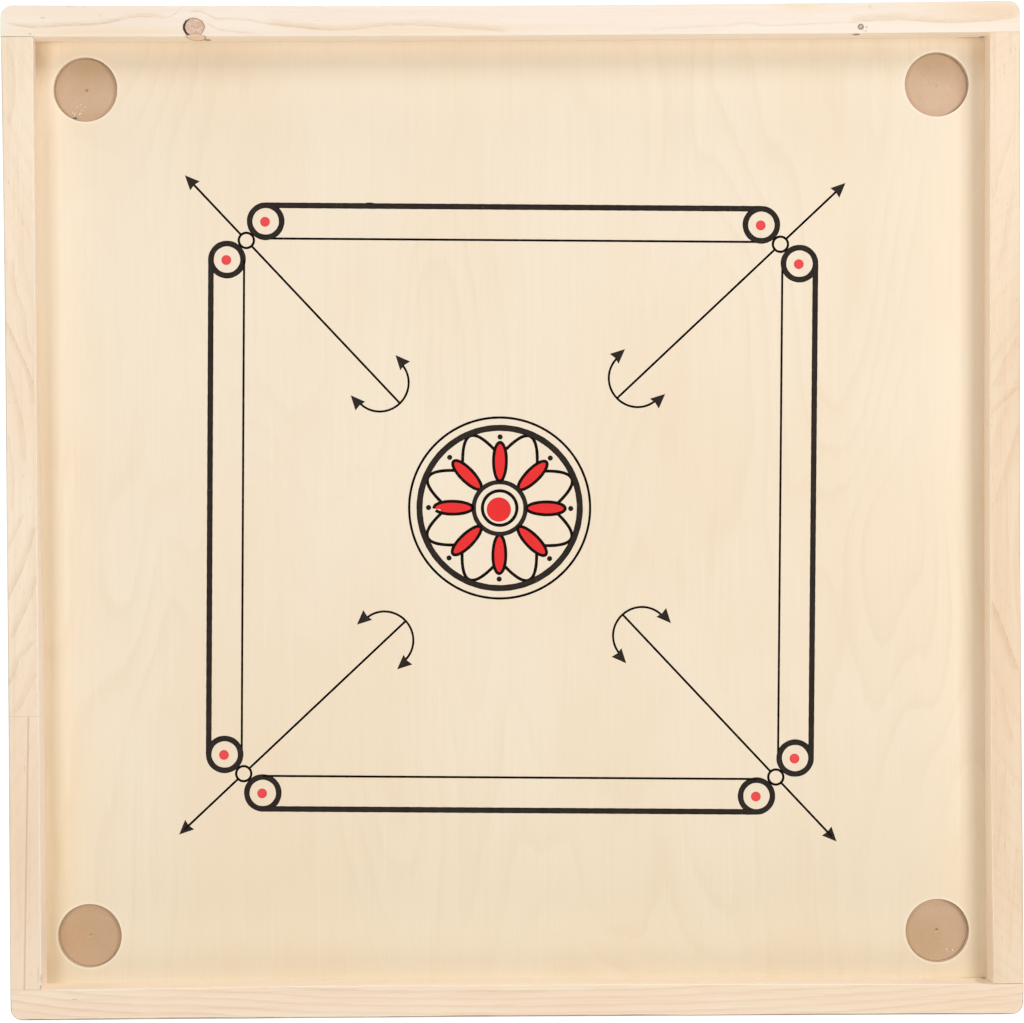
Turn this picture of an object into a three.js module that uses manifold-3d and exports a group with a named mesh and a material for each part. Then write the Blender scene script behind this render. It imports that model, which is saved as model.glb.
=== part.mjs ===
// A square carrom board: four dowelled softwood rails hold a printed plywood playing sheet
// over a fibreboard base, with two crossed battens under it.
// Millimetres. X runs to the right, Y to the rear and Z up from the table.
// The origin is on the table, under the middle of the board.

import * as THREE from 'three';
import { mergeVertices } from 'three/addons/utils/BufferGeometryUtils.js';
import Module from 'manifold-3d';

const wasm = await Module();
wasm.setup();

// Rails
const boardWidth = 650;
const boardDepth = 650;
const railWidth = 20;
const railHeight = 45;
const cushionHeight = 18; // rail above the playing surface
const cornerRadius = 7.5; // outer ends of the front and rear rails, seen from above
const arrisRadius = 1; // easing of the rails' edges

// Panels, held in a groove round the inside of the rails
const sheetThickness = 3;
const baseThickness = 9;
const grooveDepth = 6;
const panelClearance = 0.3;

// Pockets: cut through the sheet and just into the base, with the cutter's spur mark
const pocketDiameter = 41;
const pocketInset = 30.3; // pocket centre to the two rails beside it
const pocketShifts = [[-0.5, -0.5], [0.4, 0.2], [-0.5, 0.5], [-2.3, 0.5]]; // from the rear left clockwise
const pocketBite = 0.2;
const spurDiameter = 2.4;
const spurDepth = 1;

// Dowels, two in each corner, from the long rails into the ends of the side rails
const dowelDiameter = 8;
const dowelLength = 36;
const dowelInLongRail = 13;
const dowelFlutes = 8;
const fluteDepth = 0.35;
const dowelChamfer = 1;
const dowelClearance = 0.3;

// Battens under the base, crossed with a half lap
const battenWidth = 40;
const battenFootGap = 2; // battens stay this far above the table
const battenEndGap = 0.5;
const lapClearance = 0.3;

// Countersunk screws through the battens
const screwDiameter = 3.5;
const screwHeadDiameter = 7;
const screwHeadRim = 0.5;
const screwBite = 6; // thread in the base
const screwTip = 2.5;
const screwSink = 0.3; // head below the batten's face
const screwClearance = 0.3;
const driveWidth = 0.9;
const driveLength = 4;
const driveDepth = 1.5;
const screwStations = [0.3, 0.85]; // fractions of a batten's half length

// Print, as films on the sheet: the whole print lies a little off centre and turned
const inkThickness = 0.15;
const printOffsetX = -1.3;
const printOffsetY = 1.5;
const printTurn = THREE.MathUtils.degToRad(-0.7);
const redOffsetX = -0.45; // second colour against the first
const redOffsetY = -0.6;

// Base lines, one along each side, with a ring at both ends
const baseRingReach = 160.4; // ring centres from the middle, along the base line
const baseRingDiameter = 24.4;
const boldLine = 3.5;
const fineLine = 1.25;
const fineLineInset = 0.5; // fine base line inside the rings' tangent
const baseDotDiameter = 6.2;

// Corner rings and the double-ended arrows through them
const cornerRingDiameter = 11.4;
const cornerRingLine = 1.4;
const cornerRingBite = 0.3; // corner ring laps this far onto the base rings beside it
const arrowTurn = THREE.MathUtils.degToRad(-1.3);
const arrowReach = 57.8; // corner ring's centre to the outer tip
const hookReach = 127; // corner ring's centre to the hook's centre
const hookRadius = 18;
const hookHalfAngle = THREE.MathUtils.degToRad(86);
const barbOffset = 18.9; // hook's arrowheads from the arrow's line
const barbRise = 7.1; // their tips beyond the hook's centre
const headLength = 9.1;
const headWidth = 8.2;
const headNotch = 0.8;

// Rosette in the middle
const rosetteOffsetX = -7.8;
const rosetteOffsetY = 0.8;
const rimDiameter = 118.6;
const wheelDiameter = 107.6;
const wheelLine = 3.6;
const hubDiameter = 36.2;
const hubLine = 2.5;
const eyeDiameter = 24;
const eyeLine = 1.7;
const centreDiscDiameter = 15.8;
const petalCount = 8;
const petalCentre = 30;
const petalHalfLength = 12.95;
const petalHalfWidth = 4.8;
const petalFullness = 0.12; // outer half of a petal fuller than its inner half
const petalLine = 1.3;
const petalRegister = 0.15; // red inside the petal's outline
const leafCentre = 32.4;
const leafHalfLength = 18.2;
const leafHalfWidth = 10.7;
const leafLine = 1.5;
const leafHalfAngle = THREE.MathUtils.degToRad(100);
const rosetteDotRadius = 46.5;
const rosetteDotDiameter = 3.1;

// Smoothness of the round shapes
const pocketSides = 48;
const boreSides = 16;
const spurSides = 12;
const screwSides = 12;
const petalPoints = 20;
const leafSteps = 12;
const chordError = 0.12; // farthest a printed curve's chord lies from its circle
const overshoot = 1; // cutters reach this far past the faces they open

// Levels and places that follow from the sizes above
const playingLevel = railHeight - cushionHeight;
const sheetBottom = playingLevel - sheetThickness;
const baseBottom = sheetBottom - baseThickness;
const grooveTop = playingLevel + panelClearance;
const innerX = boardWidth / 2 - railWidth;
const innerY = boardDepth / 2 - railWidth;
const panelX = innerX + grooveDepth - panelClearance;
const panelY = innerY + grooveDepth - panelClearance;
const pocketRadius = pocketDiameter / 2;
const pocketX = innerX - pocketInset;
const pocketY = innerY - pocketInset;
const battenThickness = baseBottom - battenFootGap;
const screwLength = battenThickness - screwSink + screwBite;
const dowelInSideRail = dowelLength - dowelInLongRail;
const dowelX = boardWidth / 2 - railWidth / 2;
const dowelLevels = [baseBottom / 2, (grooveTop + railHeight) / 2];
const cornerRingStep = (baseRingDiameter + cornerRingDiameter) / 2 - cornerRingBite;
const baseRingOffset = baseRingReach + Math.SQRT2 * cornerRingStep; // ring centres, across the base line
const cornerRingPlace = (baseRingOffset + baseRingReach) / 2;

const boardCorners = [[-1, 1], [1, 1], [1, -1], [-1, -1]];
const pocketPlaces = boardCorners.map(([sideX, sideY], corner) => {
  const [shiftX, shiftY] = pocketShifts[corner];
  return [sideX * pocketX + shiftX, sideY * pocketY + shiftY];
});

// Turns a closed geometry into a solid that can be joined and cut.
function solidOf(geometry) {
  const bare = geometry.index ? geometry.toNonIndexed() : geometry.clone();
  bare.deleteAttribute('normal');
  bare.deleteAttribute('uv');
  const merged = mergeVertices(bare, 1e-5);
  const vertProperties = new Float32Array(merged.attributes.position.array);
  const triVerts = new Uint32Array(merged.index.array);
  return new wasm.Manifold(new wasm.Mesh({ numProp: 3, vertProperties, triVerts }));
}

function geometryOf(solid) {
  const mesh = solid.getMesh();
  const geometry = new THREE.BufferGeometry();
  geometry.setAttribute('position', new THREE.BufferAttribute(mesh.vertProperties, 3));
  geometry.setIndex(new THREE.BufferAttribute(mesh.triVerts, 1));
  geometry.computeVertexNormals();
  return geometry;
}

function joined(geometries) {
  return geometries.map(solidOf).reduce((whole, piece) => whole.add(piece));
}

function cut(geometry, cutters) {
  const solid = cutters.map(solidOf).reduce((rest, cutter) => rest.subtract(cutter), solidOf(geometry));
  return geometryOf(solid);
}

function named(name, geometry, material) {
  const mesh = new THREE.Mesh(geometry, material);
  mesh.name = name;
  return mesh;
}

function box(x0, x1, y0, y1, z0, z1) {
  const geometry = new THREE.BoxGeometry(x1 - x0, y1 - y0, z1 - z0);
  return geometry.translate((x0 + x1) / 2, (y0 + y1) / 2, (z0 + z1) / 2);
}

// A flat outline raised from z0 to z1 with rounded upper and lower edges.
function easedBar(shape, z0, z1, easing) {
  const geometry = new THREE.ExtrudeGeometry(shape, {
    depth: z1 - z0 - 2 * easing,
    bevelThickness: easing,
    bevelSize: easing,
    bevelOffset: -easing,
    bevelSegments: 2,
    curveSegments: 4,
  });
  return geometry.translate(0, 0, z0 + easing);
}

function rectangle(x0, x1, y0, y1) {
  const shape = new THREE.Shape();
  shape.moveTo(x0, y0);
  shape.lineTo(x1, y0);
  shape.lineTo(x1, y1);
  shape.lineTo(x0, y1);
  shape.closePath();
  return shape;
}

// A profile of [radius, height] points turned about the Z axis.
function turned(profile, sides) {
  const points = profile.map(([radius, height]) => new THREE.Vector2(radius, height));
  return new THREE.LatheGeometry(points, sides).rotateX(Math.PI / 2);
}

function pine(colour) {
  return new THREE.MeshStandardMaterial({ color: colour, roughness: 0.55, metalness: 0 });
}

function plywood() {
  return new THREE.MeshStandardMaterial({ color: 0xf5e4c9, roughness: 0.42, metalness: 0 });
}

function fibreboard() {
  return new THREE.MeshStandardMaterial({ color: 0xceab8a, roughness: 0.85, metalness: 0 });
}

function beech() {
  return new THREE.MeshStandardMaterial({ color: 0xdcb98c, roughness: 0.6, metalness: 0 });
}

function zincSteel() {
  return new THREE.MeshStandardMaterial({ color: 0xc9c6b8, roughness: 0.35, metalness: 1 });
}

function blackInk() {
  return new THREE.MeshStandardMaterial({ color: 0x453f3d, roughness: 0.45, metalness: 0 });
}

function redInk() {
  return new THREE.MeshStandardMaterial({ color: 0xf03836, roughness: 0.45, metalness: 0 });
}

// Round blind hole along Y, from the joint face at y = faceY towards the sign of depth.
function dowelBore(x, faceY, z, depth) {
  const radius = dowelDiameter / 2 + dowelClearance;
  const sign = Math.sign(depth);
  const length = Math.abs(depth) + dowelClearance + overshoot;
  const middle = faceY + sign * (length / 2 - overshoot);
  return new THREE.CylinderGeometry(radius, radius, length, boreSides).translate(x, middle, z);
}

function dowelBores(sides, faceY, depth) {
  return sides.flatMap((side) => dowelLevels.map((z) => dowelBore(side * dowelX, faceY, z, depth)));
}

// Front or rear rail: full width with rounded outer corners and a groove that stops short of the ends.
function longRail(name, side, colour) {
  const half = boardWidth / 2;
  const outer = boardDepth / 2;
  const outline = new THREE.Shape();
  outline.moveTo(-half, innerY);
  outline.lineTo(half, innerY);
  outline.lineTo(half, outer - cornerRadius);
  outline.absarc(half - cornerRadius, outer - cornerRadius, cornerRadius, 0, Math.PI / 2, false);
  outline.lineTo(cornerRadius - half, outer);
  outline.absarc(cornerRadius - half, outer - cornerRadius, cornerRadius, Math.PI / 2, Math.PI, false);
  outline.closePath();
  const grooveEnd = innerX + grooveDepth;
  const groove = box(-grooveEnd, grooveEnd, innerY - overshoot, innerY + grooveDepth, baseBottom, grooveTop);
  const bores = dowelBores([-1, 1], innerY, dowelInLongRail);
  const rail = cut(easedBar(outline, 0, railHeight, arrisRadius), [groove, ...bores]);
  if (side < 0) rail.rotateZ(Math.PI);
  return named(name, rail, pine(colour));
}

// Left or right rail: butts between the long rails, with the groove running out at both ends.
function sideRail(name, side, colour) {
  const edges = [side * innerX, side * (boardWidth / 2)].sort((a, b) => a - b);
  const bar = easedBar(rectangle(...edges, -innerY, innerY), 0, railHeight, arrisRadius);
  const grooveEdges = [side * (innerX - overshoot), side * (innerX + grooveDepth)].sort((a, b) => a - b);
  const groove = box(...grooveEdges, -innerY - overshoot, innerY + overshoot, baseBottom, grooveTop);
  const rearBores = dowelBores([side], innerY, -dowelInSideRail);
  const frontBores = dowelBores([side], -innerY, dowelInSideRail);
  return named(name, cut(bar, [groove, ...rearBores, ...frontBores]), pine(colour));
}

// Fluted pin with chamfered ends, lying along Y across a corner joint.
function dowelPin() {
  const outline = new THREE.Shape();
  const points = Array.from({ length: dowelFlutes * 2 }, (_, i) => {
    const radius = dowelDiameter / 2 - (i % 2) * fluteDepth;
    const angle = (i * Math.PI) / dowelFlutes;
    return new THREE.Vector2(radius * Math.cos(angle), radius * Math.sin(angle));
  });
  outline.setFromPoints(points);
  const pin = new THREE.ExtrudeGeometry(outline, {
    depth: dowelLength - 2 * dowelChamfer,
    bevelThickness: dowelChamfer,
    bevelSize: dowelChamfer,
    bevelOffset: -dowelChamfer,
    bevelSegments: 1,
  });
  return pin.translate(0, 0, dowelChamfer).rotateX(-Math.PI / 2);
}

function dowels() {
  const group = new THREE.Group();
  boardCorners.forEach(([sideX, sideY], corner) => {
    dowelLevels.forEach((z, level) => {
      const pin = named(`dowel_${2 * corner + level + 1}`, dowelPin(), beech());
      const start = sideY > 0 ? innerY - dowelInSideRail : -innerY - dowelInLongRail;
      pin.position.set(sideX * dowelX, start, z);
      group.add(pin);
    });
  });
  return group;
}

function playingSheet() {
  const outline = rectangle(-panelX, panelX, -panelY, panelY);
  outline.holes = pocketPlaces.map(([x, y]) => {
    const hole = new THREE.Path();
    return hole.absarc(x, y, pocketRadius, 0, 2 * Math.PI, true);
  });
  const sheet = new THREE.ExtrudeGeometry(outline, {
    depth: sheetThickness,
    bevelEnabled: false,
    curveSegments: pocketSides / 2,
  });
  return named('playing_sheet', sheet.translate(0, 0, sheetBottom), plywood());
}

// Shallow round bottom of a pocket, and the conical spur mark in its middle.
function pocketCutters(x, y) {
  const bore = [
    [0, -pocketBite],
    [pocketRadius, -pocketBite],
    [pocketRadius, overshoot],
    [0, overshoot],
  ];
  const spur = [
    [0, -pocketBite - spurDepth],
    [spurDiameter / 2, -pocketBite],
    [spurDiameter / 2, 0],
    [0, 0],
  ];
  const cutters = [turned(bore, pocketSides), turned(spur, spurSides)];
  return cutters.map((cutter) => cutter.translate(x, y, sheetBottom));
}

// Outline of a screw from its head up, grown by a clearance for the hole that takes it.
function screwProfile(clearance, headStart) {
  const head = screwHeadDiameter / 2 + clearance;
  const shank = screwDiameter / 2 + clearance;
  const coneTop = screwHeadRim + (screwHeadDiameter - screwDiameter) / 2;
  return [
    [0, headStart],
    [head, headStart],
    [head, screwHeadRim],
    [shank, coneTop],
    [shank, screwLength - screwTip],
    [clearance, screwLength + clearance],
    [0, screwLength + clearance],
  ];
}

// Places of all the screws, as [x, y], four along each batten.
function screwPlaces() {
  const across = screwStations.flatMap((part) => [-part * innerX, part * innerX]);
  const lengthwise = screwStations.flatMap((part) => [-part * innerY, part * innerY]);
  return [...across.map((x) => [x, 0]), ...lengthwise.map((y) => [0, y])];
}

function screwHoles(places) {
  const seat = battenFootGap + screwSink;
  return places.map(([x, y]) => {
    const profile = screwProfile(screwClearance, -screwSink - overshoot);
    return turned(profile, screwSides).translate(x, y, seat);
  });
}

function baseBoard() {
  const board = box(-panelX, panelX, -panelY, panelY, baseBottom, sheetBottom);
  const pockets = pocketPlaces.flatMap(([x, y]) => pocketCutters(x, y));
  return named('base_board', cut(board, [...pockets, ...screwHoles(screwPlaces())]), fibreboard());
}

function battens() {
  const lap = battenWidth / 2 + lapClearance;
  const lapLevel = battenFootGap + battenThickness / 2;
  const half = battenWidth / 2;
  const reachX = innerX - battenEndGap;
  const reachY = innerY - battenEndGap;
  const acrossBar = easedBar(rectangle(-reachX, reachX, -half, half), battenFootGap, baseBottom, arrisRadius);
  const lengthBar = easedBar(rectangle(-half, half, -reachY, reachY), battenFootGap, baseBottom, arrisRadius);
  const lowerLap = box(-lap, lap, -lap, lap, battenFootGap - overshoot, lapLevel + lapClearance / 2);
  const upperLap = box(-lap, lap, -lap, lap, lapLevel - lapClearance / 2, baseBottom + overshoot);
  const holesAcross = screwHoles(screwPlaces().filter(([, y]) => y === 0));
  const holesLengthwise = screwHoles(screwPlaces().filter(([x]) => x === 0));
  const group = new THREE.Group();
  group.add(named('batten_across', cut(acrossBar, [lowerLap, ...holesAcross]), pine(0xf0d9b8)));
  group.add(named('batten_lengthwise', cut(lengthBar, [upperLap, ...holesLengthwise]), pine(0xeed6b3)));
  return group;
}

function screws() {
  const group = new THREE.Group();
  const slot = driveLength / 2;
  const narrow = driveWidth / 2;
  const crossSlots = [
    box(-slot, slot, -narrow, narrow, -overshoot, driveDepth),
    box(-narrow, narrow, -slot, slot, -overshoot, driveDepth),
  ];
  screwPlaces().forEach(([x, y], i) => {
    const body = turned(screwProfile(0, 0).slice(0, -1), screwSides);
    const screw = named(`batten_screw_${i + 1}`, cut(body, crossSlots), zincSteel());
    screw.position.set(x, y, battenFootGap + screwSink);
    group.add(screw);
  });
  return group;
}

// Divisions that keep the chords of an arc within the chord error, two sides to a division.
function divisions(radius, angle = 2 * Math.PI) {
  const step = 2 * Math.acos(1 - chordError / radius);
  return Math.ceil(angle / step / 2);
}

function film(shape, curveSegments = 1) {
  return new THREE.ExtrudeGeometry(shape, { depth: inkThickness, bevelEnabled: false, curveSegments });
}

function disc(diameter) {
  const shape = new THREE.Shape();
  shape.absarc(0, 0, diameter / 2, 0, 2 * Math.PI, false);
  return film(shape, divisions(diameter / 2));
}

function ring(diameter, line) {
  const shape = new THREE.Shape();
  shape.absarc(0, 0, diameter / 2, 0, 2 * Math.PI, false);
  const hole = new THREE.Path();
  hole.absarc(0, 0, diameter / 2 - line, 0, 2 * Math.PI, true);
  shape.holes = [hole];
  return film(shape, divisions(diameter / 2));
}

function stroke(x0, x1, y, line) {
  return film(rectangle(x0, x1, y - line / 2, y + line / 2));
}

// Arrowhead with a notched base, pointing along +X.
function arrowhead(tipX, y) {
  const back = tipX - headLength;
  const shape = new THREE.Shape();
  shape.moveTo(tipX, y);
  shape.lineTo(back, y + headWidth / 2);
  shape.lineTo(back + headNotch, y);
  shape.lineTo(back, y - headWidth / 2);
  shape.closePath();
  return film(shape);
}

// Band along the far side of a circle, from -halfAngle to halfAngle about the -X direction.
function hook() {
  const start = Math.PI - hookHalfAngle;
  const end = Math.PI + hookHalfAngle;
  const shape = new THREE.Shape();
  shape.absarc(-hookReach, 0, hookRadius + fineLine / 2, start, end, false);
  shape.absarc(-hookReach, 0, hookRadius - fineLine / 2, end, start, true);
  shape.closePath();
  return film(shape, divisions(hookRadius, 2 * hookHalfAngle));
}

// One arrow about the centre of its corner ring, pointing out of the board along +X.
function arrow() {
  const ringMiddle = (cornerRingDiameter - cornerRingLine) / 2;
  return [
    stroke(ringMiddle, arrowReach - headLength / 2, 0, fineLine),
    arrowhead(arrowReach, 0),
    stroke(-hookReach - hookRadius, -ringMiddle, 0, fineLine),
    hook(),
    arrowhead(barbRise - hookReach, barbOffset),
    arrowhead(barbRise - hookReach, -barbOffset),
  ];
}

// Quarter of the print: the rear base line with its two rings, and the rear right corner.
function basePrintQuarter() {
  const tangent = baseRingDiameter / 2;
  const boldY = baseRingOffset + tangent - boldLine / 2;
  const fineY = baseRingOffset - tangent + fineLineInset + fineLine / 2;
  const side = [
    stroke(-baseRingReach, baseRingReach, boldY, boldLine),
    stroke(-baseRingReach, baseRingReach, fineY, fineLine),
    ring(baseRingDiameter, boldLine).translate(-baseRingReach, baseRingOffset, 0),
    ring(baseRingDiameter, boldLine).translate(baseRingReach, baseRingOffset, 0),
  ];
  const corner = [ring(cornerRingDiameter, cornerRingLine), ...arrow()].map((piece) => {
    return piece.rotateZ(Math.PI / 4 + arrowTurn).translate(cornerRingPlace, cornerRingPlace, 0);
  });
  return [...side, ...corner];
}

function basePrint() {
  const quarters = [0, 1, 2, 3].flatMap((turn) => {
    return basePrintQuarter().map((piece) => piece.rotateZ((turn * Math.PI) / 2));
  });
  return named('base_line_print', geometryOf(joined(quarters)), blackInk());
}

function baseDots() {
  const group = new THREE.Group();
  [0, 1, 2, 3].forEach((turn) => {
    [-1, 1].forEach((end, i) => {
      const dot = named(`base_dot_${2 * turn + i + 1}`, disc(baseDotDiameter), redInk());
      const place = new THREE.Vector3(end * baseRingReach, baseRingOffset, 0);
      place.applyAxisAngle(new THREE.Vector3(0, 0, 1), (turn * Math.PI) / 2);
      dot.position.set(place.x + redOffsetX, place.y + redOffsetY, 0);
      group.add(dot);
    });
  });
  return group;
}

// Egg-shaped petal along +X: an ellipse whose width grows towards its outer end.
function petalOutline(inset) {
  return Array.from({ length: petalPoints }, (_, i) => {
    const angle = (2 * Math.PI * i) / petalPoints;
    const swell = 1 + petalFullness * Math.cos(angle);
    const x = petalCentre + (petalHalfLength - inset) * Math.cos(angle);
    const y = (petalHalfWidth - inset) * swell * Math.sin(angle);
    return new THREE.Vector2(x, y);
  });
}

function petalBand() {
  const shape = new THREE.Shape(petalOutline(0));
  shape.holes = [new THREE.Path(petalOutline(petalLine))];
  return film(shape);
}

// Outer part of an ellipse's outline along +X, as a band of one line's width.
function leafBand() {
  const edge = (offset) => Array.from({ length: leafSteps + 1 }, (_, i) => {
    const angle = leafHalfAngle * ((2 * i) / leafSteps - 1);
    const x = leafCentre + (leafHalfLength + offset) * Math.cos(angle);
    return new THREE.Vector2(x, (leafHalfWidth + offset) * Math.sin(angle));
  });
  const shape = new THREE.Shape([...edge(leafLine / 2), ...edge(-leafLine / 2).reverse()]);
  return film(shape);
}

function petalAngle(i) {
  return (2 * Math.PI * i) / petalCount;
}

function rosettePrint() {
  const steps = Array.from({ length: petalCount }, (_, i) => i);
  const leaves = joined(steps.map((i) => leafBand().rotateZ(petalAngle(i + 0.5))));
  const petals = steps.map((i) => film(new THREE.Shape(petalOutline(petalLine / 2))).rotateZ(petalAngle(i)));
  const outlines = steps.map((i) => petalBand().rotateZ(petalAngle(i)));
  const clearLeaves = leaves.subtract(joined(petals)).subtract(solidOf(disc(hubDiameter - hubLine)));
  const rings = [ring(wheelDiameter, wheelLine), ring(hubDiameter, hubLine)];
  const whole = joined([...rings, ...outlines]).add(clearLeaves);
  return named('rosette_print', geometryOf(whole), blackInk());
}

function rosette() {
  const group = new THREE.Group();
  group.add(named('rosette_rim', ring(rimDiameter, fineLine), blackInk()));
  group.add(rosettePrint());
  group.add(named('centre_ring', ring(eyeDiameter, eyeLine), blackInk()));
  const centreDisc = named('centre_disc', disc(centreDiscDiameter), redInk());
  centreDisc.position.set(redOffsetX, redOffsetY, 0);
  group.add(centreDisc);
  for (let i = 0; i < petalCount; i += 1) {
    const red = film(new THREE.Shape(petalOutline(petalLine + petalRegister)));
    const petal = named(`rosette_petal_${i + 1}`, red, redInk());
    petal.rotation.z = petalAngle(i);
    group.add(petal);
    const dot = named(`rosette_dot_${i + 1}`, disc(rosetteDotDiameter), blackInk());
    const angle = petalAngle(i);
    dot.position.set(rosetteDotRadius * Math.cos(angle), rosetteDotRadius * Math.sin(angle), 0);
    group.add(dot);
  }
  group.position.set(rosetteOffsetX, rosetteOffsetY, 0);
  return group;
}

function print() {
  const group = new THREE.Group();
  group.add(basePrint(), baseDots(), rosette());
  group.position.set(printOffsetX, printOffsetY, playingLevel);
  group.rotation.z = printTurn;
  return group;
}

function carromBoard() {
  const board = new THREE.Group();
  board.add(longRail('rear_rail', 1, 0xfaebda));
  board.add(longRail('front_rail', -1, 0xf4ddc2));
  board.add(sideRail('left_rail', -1, 0xf5ddc1));
  board.add(sideRail('right_rail', 1, 0xf3d8bb));
  board.add(playingSheet(), baseBoard(), battens(), screws(), dowels(), print());
  return board;
}

export default carromBoard();
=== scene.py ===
"""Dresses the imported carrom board: softwood rails, printed plywood sheet, fibreboard pockets and underside.

Sizes are in millimetres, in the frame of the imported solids: X to the right, Y to the rear, Z up
from the table, with the origin under the middle of the board.
"""

import logging
import math
from dataclasses import dataclass
from enum import Enum
from typing import Iterable, Optional, Sequence, Union

import bpy
import numpy as np
from mathutils import Matrix


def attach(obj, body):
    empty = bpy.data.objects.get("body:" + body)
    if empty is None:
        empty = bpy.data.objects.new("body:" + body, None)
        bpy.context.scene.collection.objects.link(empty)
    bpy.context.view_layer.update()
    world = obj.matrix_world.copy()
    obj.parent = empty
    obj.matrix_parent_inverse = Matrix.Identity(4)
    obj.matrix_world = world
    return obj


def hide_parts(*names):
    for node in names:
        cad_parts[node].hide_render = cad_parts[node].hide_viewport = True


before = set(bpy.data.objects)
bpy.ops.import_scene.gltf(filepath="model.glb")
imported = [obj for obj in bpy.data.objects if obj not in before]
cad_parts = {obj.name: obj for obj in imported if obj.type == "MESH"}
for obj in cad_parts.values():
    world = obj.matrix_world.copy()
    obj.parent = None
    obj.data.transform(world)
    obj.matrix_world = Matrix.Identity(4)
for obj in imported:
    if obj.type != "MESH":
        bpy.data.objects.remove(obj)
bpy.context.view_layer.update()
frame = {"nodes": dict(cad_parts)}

LOG = logging.getLogger("carrom_board")
MM = 0.001
MERGE = 1e-4
CLOSE = 1e-6
SHARP_ANGLE = math.radians(38)
TURN = 2 * math.pi
QUARTER = math.pi / 2
SCREEN_KNEE = 0.04045
SCREEN_SLOPE = 12.92
SCREEN_SHIFT = 0.055
SCREEN_POWER = 2.4
WAVES = 5
WAVE_CROWDING = 1.3
WAVE_SUM = 1.6
SHEET_TOP = 27.0

Rgb = tuple[int, int, int]
Pair = tuple[float, float]
Triple = tuple[float, float, float]
Array = np.ndarray
Material = bpy.types.Material
Socket = bpy.types.NodeSocket
Value = Union[float, Socket]
Places = Union[float, Array]


class Grain(Enum):
    """Direction in which a piece of wood was sawn, as the turn that brings it onto X."""

    ALONG_X = 0.0
    ALONG_Y = -QUARTER


class Ink(Enum):
    """The two colours of the print, with the record's material slot of each."""

    BLACK = "ink_black"
    RED = "ink_red"


class Mixing(Enum):
    """How a colour is laid over another, as the Mix node names it."""

    COVER = "MIX"
    TONE = "MULTIPLY"


def shade(colour: Rgb) -> tuple[float, ...]:
    """Turns a screen colour into the linear colour of a shader socket.

    Args:
        colour: red, green and blue, where 255 is full; a factor that paints light into a colour has more.

    Returns:
        The linear colour with full opacity.
    """
    part = np.array(colour) / 255.0
    curved = ((part + SCREEN_SHIFT) / (1 + SCREEN_SHIFT)) ** SCREEN_POWER
    linear = np.where(part <= SCREEN_KNEE, part / SCREEN_SLOPE, curved)
    return (*linear.tolist(), 1.0)


def waver(length: Array, seed: int, wavelength: float) -> Array:
    """Smooth unevenness along a length: a sum of five sine waves of falling height and seeded phase.

    Args:
        length: places along the piece.
        seed: number that fixes the phases.
        wavelength: the longest of the waves.

    Returns:
        Values of about -1 to 1, one for each place.
    """
    phases = np.random.default_rng(seed).uniform(0, TURN, WAVES)
    order = np.arange(1, WAVES + 1)
    angles = TURN * length[..., None] * order**WAVE_CROWDING / wavelength + phases
    return (np.sin(angles) / order).sum(axis=-1) / WAVE_SUM


def spun(points: Array, turn: float, centre: Pair = (0.0, 0.0)) -> Array:
    """Turns points about the vertical axis and then shifts them.

    Args:
        points: array whose last axis starts with x and y.
        turn: angle in radians, counter-clockwise from above.
        centre: shift in x and y after the turn.

    Returns:
        A new array of the same shape.
    """
    moved = points.copy()
    cosine, sine = math.cos(turn), math.sin(turn)
    moved[..., 0] = cosine * points[..., 0] - sine * points[..., 1] + centre[0]
    moved[..., 1] = sine * points[..., 0] + cosine * points[..., 1] + centre[1]
    return moved


def lined(x: Places, y: Places) -> Array:
    """Plan points from places in X and Y, of which one may be a single number."""
    return np.stack(np.broadcast_arrays(np.atleast_1d(x), np.atleast_1d(y)), axis=-1)


def raised(plan: Array, level: Places) -> Array:
    """Plan points with their height, a single number or an array that spreads over them."""
    height = np.broadcast_to(level, plan.shape[:-1])
    return np.concatenate([plan, height[..., None]], axis=-1)


def square(places: Array) -> Array:
    """Points round a square, closed and counter-clockwise, at the same places on each side.

    Args:
        places: places along a side, from minus half of it to plus half.

    Returns:
        Points of shape (n, 2).
    """
    full = np.full_like(places, places[-1])
    sides = ((full, places), (places[::-1], full), (-full, places[::-1]), (places, -full))
    loop = np.concatenate([lined(*side)[:-1] for side in sides])
    return np.concatenate([loop, loop[:1]])


def cells(rows: int, columns: int) -> Array:
    """Corner numbers of a grid's quads, counter-clockwise, of shape (rows - 1, columns - 1, 4)."""
    index = np.arange(rows * columns).reshape(rows, columns)
    return np.stack([index[:-1, :-1], index[:-1, 1:], index[1:, 1:], index[1:, :-1]], axis=-1)


def numbered(stem: str, count: int) -> list[str]:
    """Names of a row of solids, counted from one."""
    return [f"{stem}_{i + 1}" for i in range(count)]


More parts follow.
